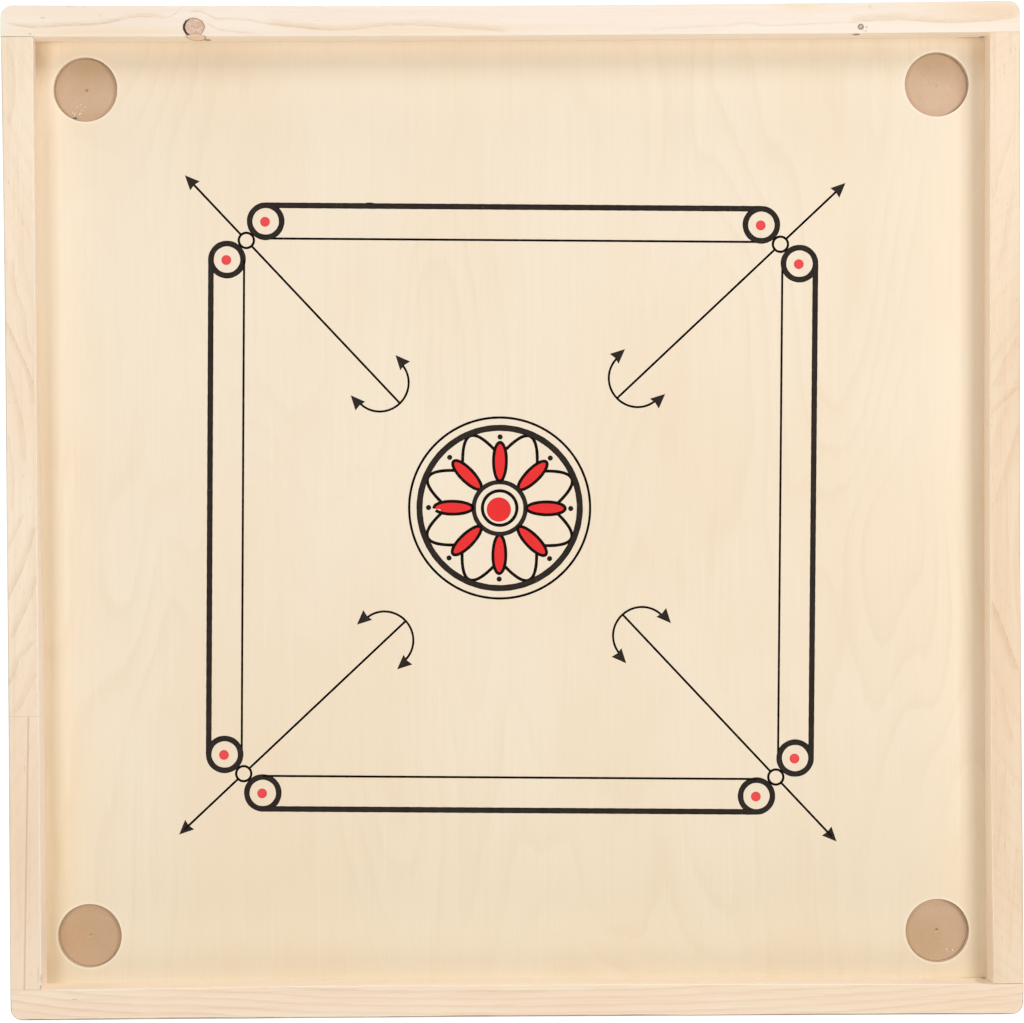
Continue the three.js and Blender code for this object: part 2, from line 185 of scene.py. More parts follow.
class Skin:
    """A closed skin gathered from grids of points, in which coincident points become one."""

    def __init__(self, name: str) -> None:
        """Starts an empty skin.

        Args:
            name: name of its piece.
        """
        self.name = name
        self._points: list[Array] = []
        self._marks: dict[str, list[Array]] = {"wear_and_painted_light": [], "painted_wall_light": []}
        self._quads: list[Array] = []
        self._size = 0

    def add(
        self, grid: Array, wear_and_painted_light: Places = 0.0, keep: Optional[Array] = None, painted_wall_light: Places = 0.0
    ) -> None:
        """Adds a grid as quads; the outer side is where columns crossed with rows point.

        Args:
            grid: points of shape (rows, columns, 3).
            wear_and_painted_light: mark of each point, from -1 for dark joints, dark lines and painted shade
                to 1 for sanded edges and painted highlight; on the ink films, how thin the ink lies.
            keep: which cells to keep, of shape (rows - 1, columns - 1), or nothing for all.
            painted_wall_light: share of painted light at each point, from 0 to 1, which is one on a rail's
                inner walls.
        """
        rows, columns = grid.shape[:2]
        quads = self._size + cells(rows, columns)
        self._quads.append(quads.reshape(-1, 4) if keep is None else quads[keep])
        self._points.append(grid.reshape(-1, 3))
        for name, mark in (("wear_and_painted_light", wear_and_painted_light), ("painted_wall_light", painted_wall_light)):
            self._marks[name].append(np.broadcast_to(mark, (rows, columns)).reshape(-1))
        self._size += rows * columns

    def piece(self, material: Material, slot: str, *nodes: str) -> None:
        """Makes the mesh object, lets it ride on the board and stand for its solids.

        Args:
            material: finish of the whole piece.
            slot: the record's material slot; not used here.
            nodes: solids that the piece replaces.
        """
        points = np.concatenate(self._points)
        keys = np.round(points / MERGE).astype(np.int64)
        _, first, same = np.unique(keys, axis=0, return_index=True, return_inverse=True)
        quads = same.reshape(-1)[np.concatenate(self._quads)]
        fresh = quads != np.roll(quads, 1, axis=1)
        sizes = fresh.sum(axis=1)
        whole = sizes > 2
        used, loops = np.unique(quads[whole][fresh[whole]], return_inverse=True)
        sizes = sizes[whole]
        mesh = bpy.data.meshes.new(self.name)
        mesh.vertices.add(len(used))
        mesh.vertices.foreach_set("co", (points[first][used] * MM).ravel())
        mesh.loops.add(len(loops))
        mesh.loops.foreach_set("vertex_index", loops.reshape(-1).astype(np.int32))
        mesh.polygons.add(len(sizes))
        starts = np.concatenate([[0], np.cumsum(sizes)[:-1]])
        mesh.polygons.foreach_set("loop_start", starts.astype(np.int32))
        mesh.update(calc_edges=True)
        for name, marks in self._marks.items():
            layer = mesh.attributes.new(name, "FLOAT", "POINT")
            layer.data.foreach_set("value", np.concatenate(marks)[first][used].astype(np.float32))
        mesh.polygons.foreach_set("use_smooth", np.ones(len(sizes), dtype=bool))
        mesh.set_sharp_from_angle(angle=SHARP_ANGLE)
        mesh.materials.append(material)
        made = bpy.data.objects.new(self.name, mesh)
        bpy.context.scene.collection.objects.link(made)
        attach(made, "root")
        if nodes:
            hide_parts(*nodes)
        LOG.info("%s: %d faces, for %s", self.name, len(sizes), ", ".join(nodes) or "no solid")


class Desk:
    """Lays out the nodes of one material, or of the world."""

    def __init__(self, holder: Union[Material, bpy.types.World]) -> None:
        """Starts with the nodes that a new material or world has.

        Args:
            holder: the material or the world.
        """
        holder.use_nodes = True
        self.holder = holder
        self.tree = holder.node_tree

    @property
    def shader(self) -> bpy.types.Node:
        """The material's surface shader."""
        return self.tree.nodes["Principled BSDF"]

    def feed(self, socket: Socket, value: object) -> None:
        """Links a socket to another one, or sets it to a constant.

        Args:
            socket: input to feed.
            value: constant or socket.
        """
        if isinstance(value, bpy.types.NodeSocket):
            self.tree.links.new(value, socket)
        else:
            socket.default_value = value

    def node(self, kind: str, values: Iterable[object] = (), **settings: object) -> bpy.types.Node:
        """Adds a node, sets its options and feeds its first inputs.

        Args:
            kind: node type without its ShaderNode prefix.
            values: constants or sockets for the first inputs, in their order.
            settings: options by name.

        Returns:
            The new node.
        """
        made = self.tree.nodes.new("ShaderNode" + kind)
        for option, setting in settings.items():
            setattr(made, option, setting)
        for socket, value in zip(made.inputs, values):
            self.feed(socket, value)
        return made

    def math(self, operation: str, *values: Value, clamp: bool = False) -> Socket:
        """One arithmetic step of the Math node, held between 0 and 1 if asked."""
        return self.node("Math", values, operation=operation, use_clamp=clamp).outputs[0]

    def times(self, first: Value, second: Value, clamp: bool = False) -> Socket:
        """The product of two values, held between 0 and 1 if asked."""
        return self.math("MULTIPLY", first, second, clamp=clamp)

    def scaled(self, value: Value, factor: Value, plus: Value) -> Socket:
        """A value times a factor, plus another value."""
        return self.math("MULTIPLY_ADD", value, factor, plus)

    def off(self, value: Value, place: float, reach: float) -> Socket:
        """How far a value lies from a place, in shares of a reach."""
        return self.scaled(value, 1 / reach, -place / reach)

    def bell(self, squares: Socket) -> Socket:
        """A bell of a distance: the exponential of its negative square."""
        return self.math("EXPONENT", self.times(squares, -1.0))

    def step(self, value: Value, low: Value, high: Value, bottom: float = 0.0, top: float = 1.0) -> Socket:
        """Smooth step of a value.

        Args:
            value: number or socket to read.
            low: where the step starts.
            high: where it ends.
            bottom: result below the start.
            top: result above the end.

        Returns:
            The result's socket.
        """
        values = (value, low, high, bottom, top)
        return self.node("MapRange", values, interpolation_type="SMOOTHSTEP").outputs[0]

    def band(self, value: Value, rise: Pair, fall: Pair) -> Socket:
        """One between a smooth step up and a smooth step down, and nought outside them."""
        return self.times(self.step(value, *rise), self.step(value, *fall, 1.0, 0.0))

    def place(self, scale: Triple, turn: float = 0.0, shift: Triple = (0, 0, 0)) -> Socket:
        """Object coordinates in millimetres, turned about Z, then stretched and shifted.

        Args:
            scale: stretch along each axis, after the turn.
            turn: angle about Z in radians.
            shift: shift after the stretch.

        Returns:
            The vector's socket.
        """
        source = self.node("TexCoord").outputs["Object"]
        turned = self.node("Mapping", (source, (0, 0, 0), (0, 0, turn), (1 / MM, 1 / MM, 1 / MM)))
        return self.node("Mapping", (turned.outputs[0], shift, (0, 0, 0), scale)).outputs[0]

    def split(self, vector: Socket) -> list[Socket]:
        """The three parts of a vector."""
        return list(self.node("SeparateXYZ", (vector,)).outputs)

    def noise(self, vector: Socket, detail: float, roughness: float, distortion: float = 0.0) -> Socket:
        """Cloudy noise of unit scale.

        Args:
            vector: where it is read.
            detail: number of finer layers.
            roughness: strength of the finer layers.
            distortion: how far it is stirred.

        Returns:
            A value of about 0.2 to 0.8, with its middle at 0.5.
        """
        made = self.node("TexNoise", (vector,))
        sockets = {"Scale": 1.0, "Detail": detail, "Roughness": roughness, "Distortion": distortion}
        for socket, value in sockets.items():
            self.feed(made.inputs[socket], value)
        return made.outputs[0]

    def curve(self, value: Socket, points: Sequence[Pair]) -> Socket:
        """A drawn curve of a value from 0 to 1.

        Args:
            value: socket to read.
            points: the curve's points, from left to right, first at 0 and last at 1.

        Returns:
            The result's socket.
        """
        made = self.node("FloatCurve")
        self.feed(made.inputs["Value"], value)
        line = made.mapping.curves[0]
        for _ in points[2:]:
            line.points.new(0.5, 0.5)
        for point, place in zip(sorted(line.points, key=lambda p: p.location[0]), points):
            point.location = place
        made.mapping.update()
        return made.outputs[0]

    def blend(self, share: Value, under: object, over: object, mixing: Mixing = Mixing.COVER) -> Socket:
        """Mixes two colours.

        Args:
            share: how much of the second colour.
            under: first colour, constant or socket.
            over: second colour, constant or socket.
            mixing: how the second is laid over the first.

        Returns:
            The mixed colour's socket.
        """
        made = self.node("Mix", (share,), data_type="RGBA", blend_type=mixing.value)
        for index, value in ((6, under), (7, over)):
            self.feed(made.inputs[index], value)
        return made.outputs[2]

    def tint(self, share: Value, under: object, colour: Rgb) -> Socket:
        """Covers a colour with a share of a screen colour."""
        return self.blend(share, under, shade(colour))

    def mark(self, name: str, share: float) -> Socket:
        """One of the piece's own marks, where it has the sign of the share.

        Args:
            name: name of the mark.
            share: how strongly it counts.

        Returns:
            The mark's size from 0 to 1, times the share's size.
        """
        source = self.node("Attribute", attribute_name=name).outputs["Fac"]
        held = self.times(source, math.copysign(1.0, share), clamp=True)
        return self.times(held, abs(share))

    def seen(self) -> Socket:
        """Tells what is looked at from what lights the board.

        Returns:
            One for rays of the camera, of gloss and of glass, nought for others.
        """
        rays = self.node("LightPath").outputs
        seen = self.math("MAXIMUM", rays["Is Camera Ray"], rays["Is Glossy Ray"])
        return self.math("MAXIMUM", seen, rays["Is Transmission Ray"])

    def finish(
        self,
        colour: object,
        roughness: Value,
        specular: float,
        height: Optional[Socket] = None,
        relief: float = 0.05,
        strength: float = 0.5,
    ) -> Material:
        """Feeds the surface shader.

        Args:
            colour: base colour, constant or socket.
            roughness: roughness, constant or socket.
            specular: specular level.
            height: relief from 0 to 1, or nothing for none.
            relief: depth of the relief in millimetres.
            strength: strength of the relief.

        Returns:
            The finished material.
        """
        inputs = self.shader.inputs
        self.feed(inputs["Base Color"], colour)
        self.feed(inputs["Roughness"], roughness)
        inputs["Specular IOR Level"].default_value = specular
        if height is not None:
            bump = self.node("Bump")
            bump.inputs["Strength"].default_value = strength
            bump.inputs["Distance"].default_value = relief * MM
            self.feed(bump.inputs["Height"], height)
            self.feed(inputs["Normal"], bump.outputs[0])
        return self.holder


@dataclass(frozen=True)
class Cloud:
    """Cloudy noise on a piece: clouds to the millimetre along each axis, their fineness, turn and shift."""

    scale: Triple
    detail: float = 2.0
    roughness: float = 0.5
    distortion: float = 0.0
    turn: float = 0.0
    shift: Triple = (0.0, 0.0, 0.0)

    def read(self, desk: Desk) -> Socket:
        """The noise's value, of about 0.2 to 0.8."""
        place = desk.place(self.scale, self.turn, self.shift)
        return desk.noise(place, self.detail, self.roughness, self.distortion)


@dataclass(frozen=True)
class Veil:
    """A colour laid over another where a cloud is high: none up to the start, the most from the end on."""

    cloud: Cloud
    start: float
    end: float
    colour: Rgb
    most: float = 1.0

    def over(self, desk: Desk, under: object) -> tuple[Socket, Socket]:
        """Lays the veil over a colour.

        Args:
            desk: the material's nodes.
            under: colour so far, constant or socket.

        Returns:
            The new colour, and the cloud for use as relief.
        """
        cloud = self.cloud.read(desk)
        share = desk.step(cloud, self.start, self.end, 0.0, self.most)
        return desk.tint(share, under, self.colour), cloud


@dataclass(frozen=True)
class Spot:
    """The place on a piece of wood that a material is read at: along its grain, across it and up."""

    along: Socket
    across: Socket
    up: Socket

    @classmethod
    def on(cls, desk: Desk, turn: float = 0.0, shift: Triple = (0, 0, 0)) -> "Spot":
        """The place in millimetres, turned about Z and then shifted."""
        return cls(*desk.split(desk.place((1, 1, 1), turn, shift)))

    def away(self, desk: Desk, place: Triple, reach: Triple) -> tuple[Socket, Socket, Socket]:
        """Distance from a place, in shares of a reach along each axis.

        Args:
            desk: the material's nodes.
            place: along, across and up of the place.
            reach: reach along each of them.

        Returns:
            The sum of the squares, and the shares along and across.
        """
        along = desk.off(self.along, place[0], reach[0])
        across = desk.off(self.across, place[1], reach[1])
        up = desk.off(self.up, place[2], reach[2])
        squares = desk.scaled(along, along, desk.times(across, across))
        return desk.scaled(up, up, squares), along, across

    def noise(self, desk: Desk, scale: Triple, start: float, detail: float, roughness: float) -> Socket:
        """Cloudy noise that follows the place, also where it is bent.

        Args:
            desk: the material's nodes.
            scale: clouds to the millimetre along, across and up.
            start: shift along, in clouds.
            detail: number of finer layers.
            roughness: strength of the finer layers.

        Returns:
            The noise's value.
        """
        parts = (
            desk.scaled(self.along, scale[0], start),
            desk.times(self.across, scale[1]),
            desk.times(self.up, scale[2]),
        )
        return desk.noise(desk.node("CombineXYZ", parts).outputs[0], detail, roughness)


@dataclass(frozen=True)
class Blush:
    """A soft tinted oval: a colour of the wood on the rails, painted shade and light on the sheet, and
    patches with painted shade and light on the pocket floors.
    """

    along: float
    across: float
    reach: Pair
    colour: Rgb
    strength: float = 1.0

    def over(self, desk: Desk, spot: Spot, under: Socket, mixing: Mixing = Mixing.COVER) -> Socket:
        """Tints an oval area, whose strength falls off as a bell of the distance.

        Args:
            desk: the material's nodes.
            spot: place on the piece.
            under: colour so far.
            mixing: how the tint is laid over it.

        Returns:
            The new colour.
        """
        along = desk.off(spot.along, self.along, self.reach[0])
        across = desk.off(spot.across, self.across, self.reach[1])
        bell = desk.bell(desk.scaled(along, along, desk.times(across, across)))
        return desk.blend(desk.times(bell, self.strength), under, shade(self.colour), mixing)


@dataclass(frozen=True)
class NickAndShade:
    """A small dark oval in a rail, in along, across and up, used for bruises and for painted shade low in the
    corners.
    """

    place: Triple
    reach: Triple
    strength: float = 0.7
    colour: Rgb = (120, 98, 82)
    edge: Pair = (0.35, 1.15)

    def over(self, desk: Desk, spot: Spot, under: Socket) -> Socket:
        """Darkens the oval, with a soft edge in the squared distance."""
        squares = spot.away(desk, self.place, self.reach)[0]
        return desk.tint(desk.step(squares, *self.edge, self.strength, 0.0), under, self.colour)


@dataclass(frozen=True)
class GlueLine:
    """A glued seam in a rail, from one place along and across it to another."""

    start: Pair
    end: Pair
    width: float = 0.35
    strength: float = 0.5
    colour: Rgb = (184, 140, 106)
    core: float = 0.3
    soft_end: float = 0.004

    def over(self, desk: Desk, spot: Spot, under: Socket) -> Socket:
        """Draws the seam as a thin band about the straight line between its ends.

        Args:
            desk: the material's nodes.
            spot: place on the rail.
            under: colour so far.

        Returns:
            The new colour.
        """
        start = np.array(self.start)
        line = np.array(self.end) - start
        length = float(np.linalg.norm(line))
        ahead = (line / length).tolist()
        side = (-ahead[1], ahead[0])
        off = desk.scaled(spot.along, side[0], -float(start @ side))
        off = desk.math("ABSOLUTE", desk.scaled(spot.across, side[1], off))
        run = desk.scaled(spot.along, ahead[0] / length, -float(start @ ahead) / length)
        run = desk.scaled(spot.across, ahead[1] / length, run)
        soft = self.soft_end
        inside = desk.band(run, (-soft, soft), (1 - soft, 1 + soft))
        band = desk.step(off, self.width * self.core, self.width, self.strength, 0.0)
        return desk.tint(desk.times(band, inside), under, self.colour)


@dataclass(frozen=True)
class GrainLine:
    """A dark yearly line on a rail's top, through places along and across, that fades out to one side."""

    points: tuple[Pair, ...]
    fade: float = 3.0
    strength: float = 0.6
    slant: float = 0.6
    reach: float = 16.0
    stir: float = 2.2

    def over(self, desk: Desk, spot: Spot, under: Socket, wood: "PineFinish") -> Socket:
        """Draws the line as a curve of across against along, sharp on one side and fading on the other.

        Args:
            desk: the material's nodes.
            spot: place on the rail.
            under: colour so far.
            wood: finish of the rail.

        Returns:
            The new colour.
        """
        start, end = self.points[0][0], self.points[-1][0]
        span, whole, turn = end - start, 2 * self.reach, wood.grain.value
        share = desk.off(spot.along, start, span)
        held = desk.times(share, 1.0, clamp=True)
        drawn = desk.curve(held, [((a - start) / span, 0.5 + b / whole) for a, b in self.points])
        place = desk.scaled(drawn, whole, -self.reach)
        drop = desk.scaled(spot.up, -self.slant, self.slant * wood.top)
        off = desk.math("SUBTRACT", desk.math("ADD", spot.across, drop), place)
        stir = Cloud((0.06, 0.5, 0.5), 3.0, 0.6, turn=turn, shift=(start, end, 0)).read(desk)
        off = desk.math("ADD", off, desk.scaled(stir, self.stir, -self.stir / 2))
        off = desk.times(off, math.copysign(1.0, self.fade))
        band = desk.band(off, (-0.5, 0.15), (0.1, abs(self.fade)))
        core = desk.step(desk.math("ABSOLUTE", off), 0.1, 0.8, 0.3, 0.0)
        ends = desk.band(share, (0.0, 0.08), (0.92, 1.0))
        depth = desk.times(desk.scaled(band, 0.7, core), ends)
        grit = Cloud((0.14, 0.9, 0.9), 3.0, 0.6, turn=turn, shift=(end, start, 0)).read(desk)
        depth = desk.times(depth, desk.step(grit, 0.32, 0.62, 0.5, 1.1))
        return desk.tint(desk.times(depth, self.strength, clamp=True), under, wood.late)


@dataclass(frozen=True)
class Knot:
    """A branch stub in a rail: an oval with a mottled heart, a thin bark line and a crack on one side."""

    place: Triple
    reach: Triple
    heart: Rgb
    bark: Rgb
    bark_start: float = 0.9
    bark_share: float = 0.75
    crack: float = 0.0
    crack_side: float = 0.0
    bends_grain: bool = True
    bend: Pair = (0.42, 0.75)
    halo: float = 0.14
    rim_colour: Rgb = (128, 98, 74)
    crack_colour: Rgb = (62, 42, 27)

    def bent(self, desk: Desk, spot: Spot) -> Spot:
        """Bends the place across the rail, so that lines of equal value run round the knot.

        The offset from the knot is multiplied by one less a bell of the stretched distance.

        Args:
            desk: the material's nodes.
            spot: place on the rail.

        Returns:
            The bent place.
        """
        wide = (self.reach[0] / self.bend[0], self.reach[1] / self.bend[1], self.reach[2])
        squares, _, across = spot.away(desk, self.place, wide)
        pull = desk.times(desk.times(across, wide[1]), desk.bell(squares))
        return Spot(spot.along, desk.math("SUBTRACT", spot.across, pull), spot.up)

    def over(self, desk: Desk, spot: Spot, under: Socket) -> Socket:
        """Draws the knot: mottled and veined heart, faint halo, thin bark line, and a crack on one side.

        Args:
            desk: the material's nodes.
            spot: place on the rail.
            under: colour so far.

        Returns:
            The new colour.
        """
        squares, along, across = spot.away(desk, self.place, self.reach)
        seed = self.place[0]
        stir = Cloud((0.35, 0.35, 0.1), shift=(seed, 0, 0)).read(desk)
        share = desk.math("ADD", desk.math("SQRT", squares), desk.scaled(stir, 0.2, -0.1))
        mottle = Veil(Cloud((0.5, 0.5, 0.3), 4.0, 0.65, shift=(seed, 4, 0)), 0.38, 0.66, self.bark, 0.55)
        heart, _ = mottle.over(desk, shade(self.heart))
        vein = Cloud((0.42, 0.55, 0.3), 3.0, 0.6, 0.8, shift=(seed, 9, 0)).read(desk)
        vein = desk.math("ABSOLUTE", desk.math("SUBTRACT", vein, 0.5))
        heart = desk.tint(desk.step(vein, 0.0, 0.045, 0.6, 0.0), heart, self.bark)
        colour = desk.tint(desk.step(share, 1.0, 1.5, self.halo, 0.0), under, self.heart)
        colour = desk.blend(desk.step(share, 0.96, 1.0, 1.0, 0.0), colour, heart)
        rim = desk.band(share, (self.bark_start - 0.05, self.bark_start + 0.04), (1.0, 1.06))
        colour = desk.tint(desk.times(rim, self.bark_share), colour, self.rim_colour)
        if not self.crack:
            return colour
        angle = desk.math("ARCTAN2", across, along)
        swing = desk.math("COSINE", desk.math("SUBTRACT", angle, self.crack_side))
        gap = desk.math("SUBTRACT", share, desk.step(swing, 0.0, 0.9, 0.97, 0.82))
        crack = desk.times(desk.step(gap, -0.03, 0.03), desk.step(share, 1.0, 1.07, 1.0, 0.0))
        crack = desk.times(crack, desk.step(swing, 0.0, 0.5, 0.0, self.crack))
        return desk.tint(crack, colour, self.crack_colour)


@dataclass(frozen=True)
class PineFinish:
    """Sanded, unvarnished softwood: yearly rings cut by the saw, fibre, pores, knots and glue lines."""

    name: str
    grain: Grain
    centre: Pair
    early: Rgb
    late: Rgb
    tint: Rgb
    lean: Triple
    bow: float = 0.0
    bow_centre: float = 0.0
    sway: float = 1.0
    sway_length: float = 160.0
    depth: float = 0.7
    seed: float = 0.0
    top: float = 45.0
    knots: tuple[Knot, ...] = ()
    nicks_and_shade: tuple[NickAndShade, ...] = ()
    seams: tuple[GlueLine, ...] = ()
    lines: tuple[GrainLine, ...] = ()
    blushes: tuple[Blush, ...] = ()
    pores: float = 0.3
    pore_colour: Rgb = (186, 146, 108)
    fibre: float = 1.0
    ragged: float = 0.22
    # a paler colour on the inner walls, as painted light
    painted_wall_light: Rgb = (250, 232, 206)
    painted_wall_light_share: float = 0.6
    # a pale colour for sanded edges, with a painted highlight
    rubbed_and_painted_light: Rgb = (255, 243, 222)
    rubbed_and_painted_light_share: float = 0.7
    # a dark colour for the joints and for the painted shade along the outer edges
    grime_and_shade: Rgb = (112, 76, 46)
    grime_and_shade_share: float = 0.85
    year: tuple[Pair, ...] = ((0, 0.02), (0.3, 0.08), (0.62, 0.38), (0.84, 1.0), (0.93, 0.75), (1, 0.02))
    faint_year: Pair = (0.75, 0.25)

    def material(self) -> Material:
        """The rail's material, in a local frame of along, across and up.

        Returns:
            The finished material.
        """
        desk = Desk(bpy.data.materials.new(self.name))
        turned = spun(np.array(self.centre, float), self.grain.value)
        spot = Spot.on(desk, self.grain.value, (-turned[0], -turned[1], 0))
        flow = spot
        for knot in self.knots:
            flow = knot.bent(desk, flow) if knot.bends_grain else flow
        colour, late = self._rings(desk, flow)
        for blush in self.blushes:
            colour = blush.over(desk, spot, colour)
        for line in self.lines:
            colour = line.over(desk, spot, colour, self)
        colour, fibre = self._fibre(desk, colour)
        # painted light: the inner walls made paler
        colour = desk.tint(desk.mark("painted_wall_light", self.painted_wall_light_share), colour, self.painted_wall_light)
        for seam in self.seams:
            colour = seam.over(desk, spot, colour)
        # sanded edges with a painted highlight along the inner top edge
        colour = desk.tint(desk.mark("wear_and_painted_light", self.rubbed_and_painted_light_share), colour, self.rubbed_and_painted_light)
        # dark joints, and painted shade along the outer top edges
        colour = desk.tint(desk.mark("wear_and_painted_light", -self.grime_and_shade_share), colour, self.grime_and_shade)
        for flaw in (*self.knots, *self.nicks_and_shade):
            colour = flaw.over(desk, spot, colour)
        height = desk.scaled(late, 0.6, fibre)
        return desk.finish(colour, roughness=0.56, specular=0.28, height=height, relief=0.05, strength=0.35)

    def _rings(self, desk: Desk, spot: Spot) -> tuple[Socket, Socket]:
        """Colour of the yearly rings, whose count is a slanted plane, a bow and a slow sway.

        The strength of a year's late wood is drawn from the year's number.

        Args:
            desk: the material's nodes.
            spot: place on the rail, bent round the knots.

        Returns:
            The colour, and the share of dark late wood.
        """
        sway = spot.noise(desk, (1 / self.sway_length, 1 / 55, 1 / 70), self.seed, 2.5, 0.45)
        count = desk.scaled(sway, 2 * self.sway, self.seed)
        for place, lean in zip((spot.along, spot.across, spot.up), self.lean):
            count = desk.scaled(place, lean, count)
        if self.bow:
            reach = desk.math("SUBTRACT", spot.along, self.bow_centre)
            count = desk.scaled(desk.times(reach, reach), self.bow, count)
        count = desk.scaled(spot.noise(desk, (0.03, 0.9, 1.0), 0.0, 3.0, 0.6), self.ragged, count)
        profile = desk.curve(desk.math("FRACT", count), self.year)
        draw = desk.node("TexWhiteNoise", noise_dimensions="1D")
        desk.feed(draw.inputs["W"], desk.math("FLOOR", count))
        strength = desk.scaled(draw.outputs["Value"], *self.faint_year)
        late = desk.times(profile, desk.times(strength, self.depth))
        cloud = spot.noise(desk, (1 / 120, 1 / 16, 1 / 22), self.seed + 7.0, 3.0, 0.55)
        ground = desk.tint(desk.step(cloud, 0.36, 0.68), shade(self.early), self.tint)
        return desk.tint(late, ground, self.late), late

    def _fibre(self, desk: Desk, under: Socket) -> tuple[Socket, Socket]:
        """Adds fine fibre, streaks and short pores along the grain.

        Args:
            desk: the material's nodes.
            under: colour so far.

        Returns:
            The new colour, and the fibre's height.
        """
        turn, seed = self.grain.value, self.seed
        fine = Cloud((0.05, 2.6, 2.6), 3.0, 0.6, turn=turn, shift=(seed, 0, 0))
        streak = Cloud((0.012, 0.7, 0.7), 3.0, 0.55, turn=turn, shift=(seed, 3, 0))
        pores = Cloud((0.16, 1.5, 1.5), turn=turn, shift=(seed, 0, 5))
        colour, height = Veil(fine, 0.35, 0.75, self.late, 0.09 * self.fibre).over(desk, under)
        colour, _ = Veil(streak, 0.5, 0.75, self.late, 0.2 * self.fibre).over(desk, colour)
        colour, _ = Veil(pores, 0.66, 0.76, self.pore_colour, self.pores).over(desk, colour)
        return colour, height


@dataclass(frozen=True)
class VeneerFinish:
    """Pale rotary-cut face of the plywood, with the layers showing where it is cut through.

    The painted light and shade are factors of the colour, where 255 leaves it as it is, less paints shade and
    more paints light.
    """

    name: str = "pale_veneer"
    ground: Rgb = (248, 232, 208)
    line: Rgb = (228, 200, 164)
    core: Rgb = (205, 170, 130)
    # pale marks: rings about the rims and the loose splinters, and painted light on the lower walls of the
    # holes; dark marks: a line just under each rim, and painted shade at the rims and on the torn splinter
    rubbed_and_painted_light: Rgb = (255, 244, 224)
    darkening_and_shade: Rgb = (118, 92, 66)
    layer: float = 1.0
    years: float = 15.0
    ragged: float = 0.3
    year: tuple[Pair, ...] = ((0, 0.0), (0.35, 0.1), (0.72, 0.6), (0.88, 1.0), (0.96, 0.4), (1, 0.0))
    warm: Veil = Veil(Cloud((1 / 95, 1 / 210, 0.1), 3.0), 0.32, 0.7, (246, 227, 200))
    swirl: Cloud = Cloud((1 / 85, 1 / 330, 0.1), 1.5, 0.4, 0.15, shift=(3.1, 1.7, 0))
    tooth: Cloud = Cloud((0.5, 0.02, 0.1))
    patch: Cloud = Cloud((1 / 130, 1 / 160, 0.1), shift=(9.0, 2.0, 0))
    streak: Veil = Veil(Cloud((0.55, 0.011, 0.1), 4.0, 0.6), 0.42, 0.75, (228, 200, 164), 0.09)
    pale: Veil = Veil(Cloud((0.3, 0.014, 0.1), 3.0, 0.55, shift=(5, 5, 0)), 0.56, 0.78, (252, 239, 217), 0.26)
    ticks: Veil = Veil(Cloud((1.7, 0.15, 0.1)), 0.66, 0.76, (214, 184, 148), 0.15)
    # painted shade along each rail, darker towards the front and low on the right, and painted light in three
    # corners
    painted_light_and_shade: tuple[Blush, ...] = (
        Blush(305, 0, (9, 380), (232, 228, 220)),
        Blush(-301, -40, (7, 270), (245, 242, 235)),
        Blush(-296, -250, (16, 110), (252, 249, 243)),
        Blush(-304, -290, (3.2, 32), (246, 243, 235)),
        Blush(-307, 295, (5, 13), (228, 222, 214)),
        Blush(-297.5, 285, (6, 45), (267, 268, 268)),
        Blush(302, 301, (8, 16), (270, 270, 270)),
        Blush(284, 304, (12, 8), (248, 248, 248)),
        Blush(300, -304, (9, 14), (266, 266, 265)),
        Blush(0, 296, (9000, 14), (246, 243, 239)),
        Blush(0, -302, (9000, 14), (243, 245, 247)),
        Blush(0, -340, (9000, 190), (254, 252, 246)),
        Blush(240, -240, (120, 120), (252, 251, 250)),
    )

    def material(self) -> Material:
        """The sheet's material, with the grain along Y.

        Returns:
            The finished material.
        """
        desk = Desk(bpy.data.materials.new(self.name))
        colour, _ = self.warm.over(desk, shade(self.ground))
        swirl = desk.times(self.swirl.read(desk), self.years)
        count = desk.scaled(self.tooth.read(desk), self.ragged, swirl)
        contour = desk.curve(desk.math("FRACT", count), self.year)
        faint = desk.times(contour, desk.step(self.patch.read(desk), 0.4, 0.66, 0.02, 0.16))
        colour = desk.tint(faint, colour, self.line)
        colour, streak = self.streak.over(desk, colour)
        colour, _ = self.pale.over(desk, colour)
        colour, _ = self.ticks.over(desk, colour)
        spot = Spot.on(desk)
        # multiplies in the painted shade and light
        for painted_patch in self.painted_light_and_shade:
            colour = painted_patch.over(desk, spot, colour, Mixing.TONE)
        depth = desk.math("DIVIDE", desk.math("SUBTRACT", SHEET_TOP, spot.up), self.layer)
        colour = desk.tint(desk.band(depth, (0.97, 1.03), (1.97, 2.03)), colour, self.core)
        # pale and dark marks, with painted light on the lower walls of the holes and painted shade at the
        # rims
        colour = desk.tint(desk.mark("wear_and_painted_light", 0.6), colour, self.rubbed_and_painted_light)
        colour = desk.tint(desk.mark("wear_and_painted_light", -1.0), colour, self.darkening_and_shade)
        return desk.finish(colour, roughness=0.5, specular=0.3, height=streak, relief=0.03, strength=0.3)


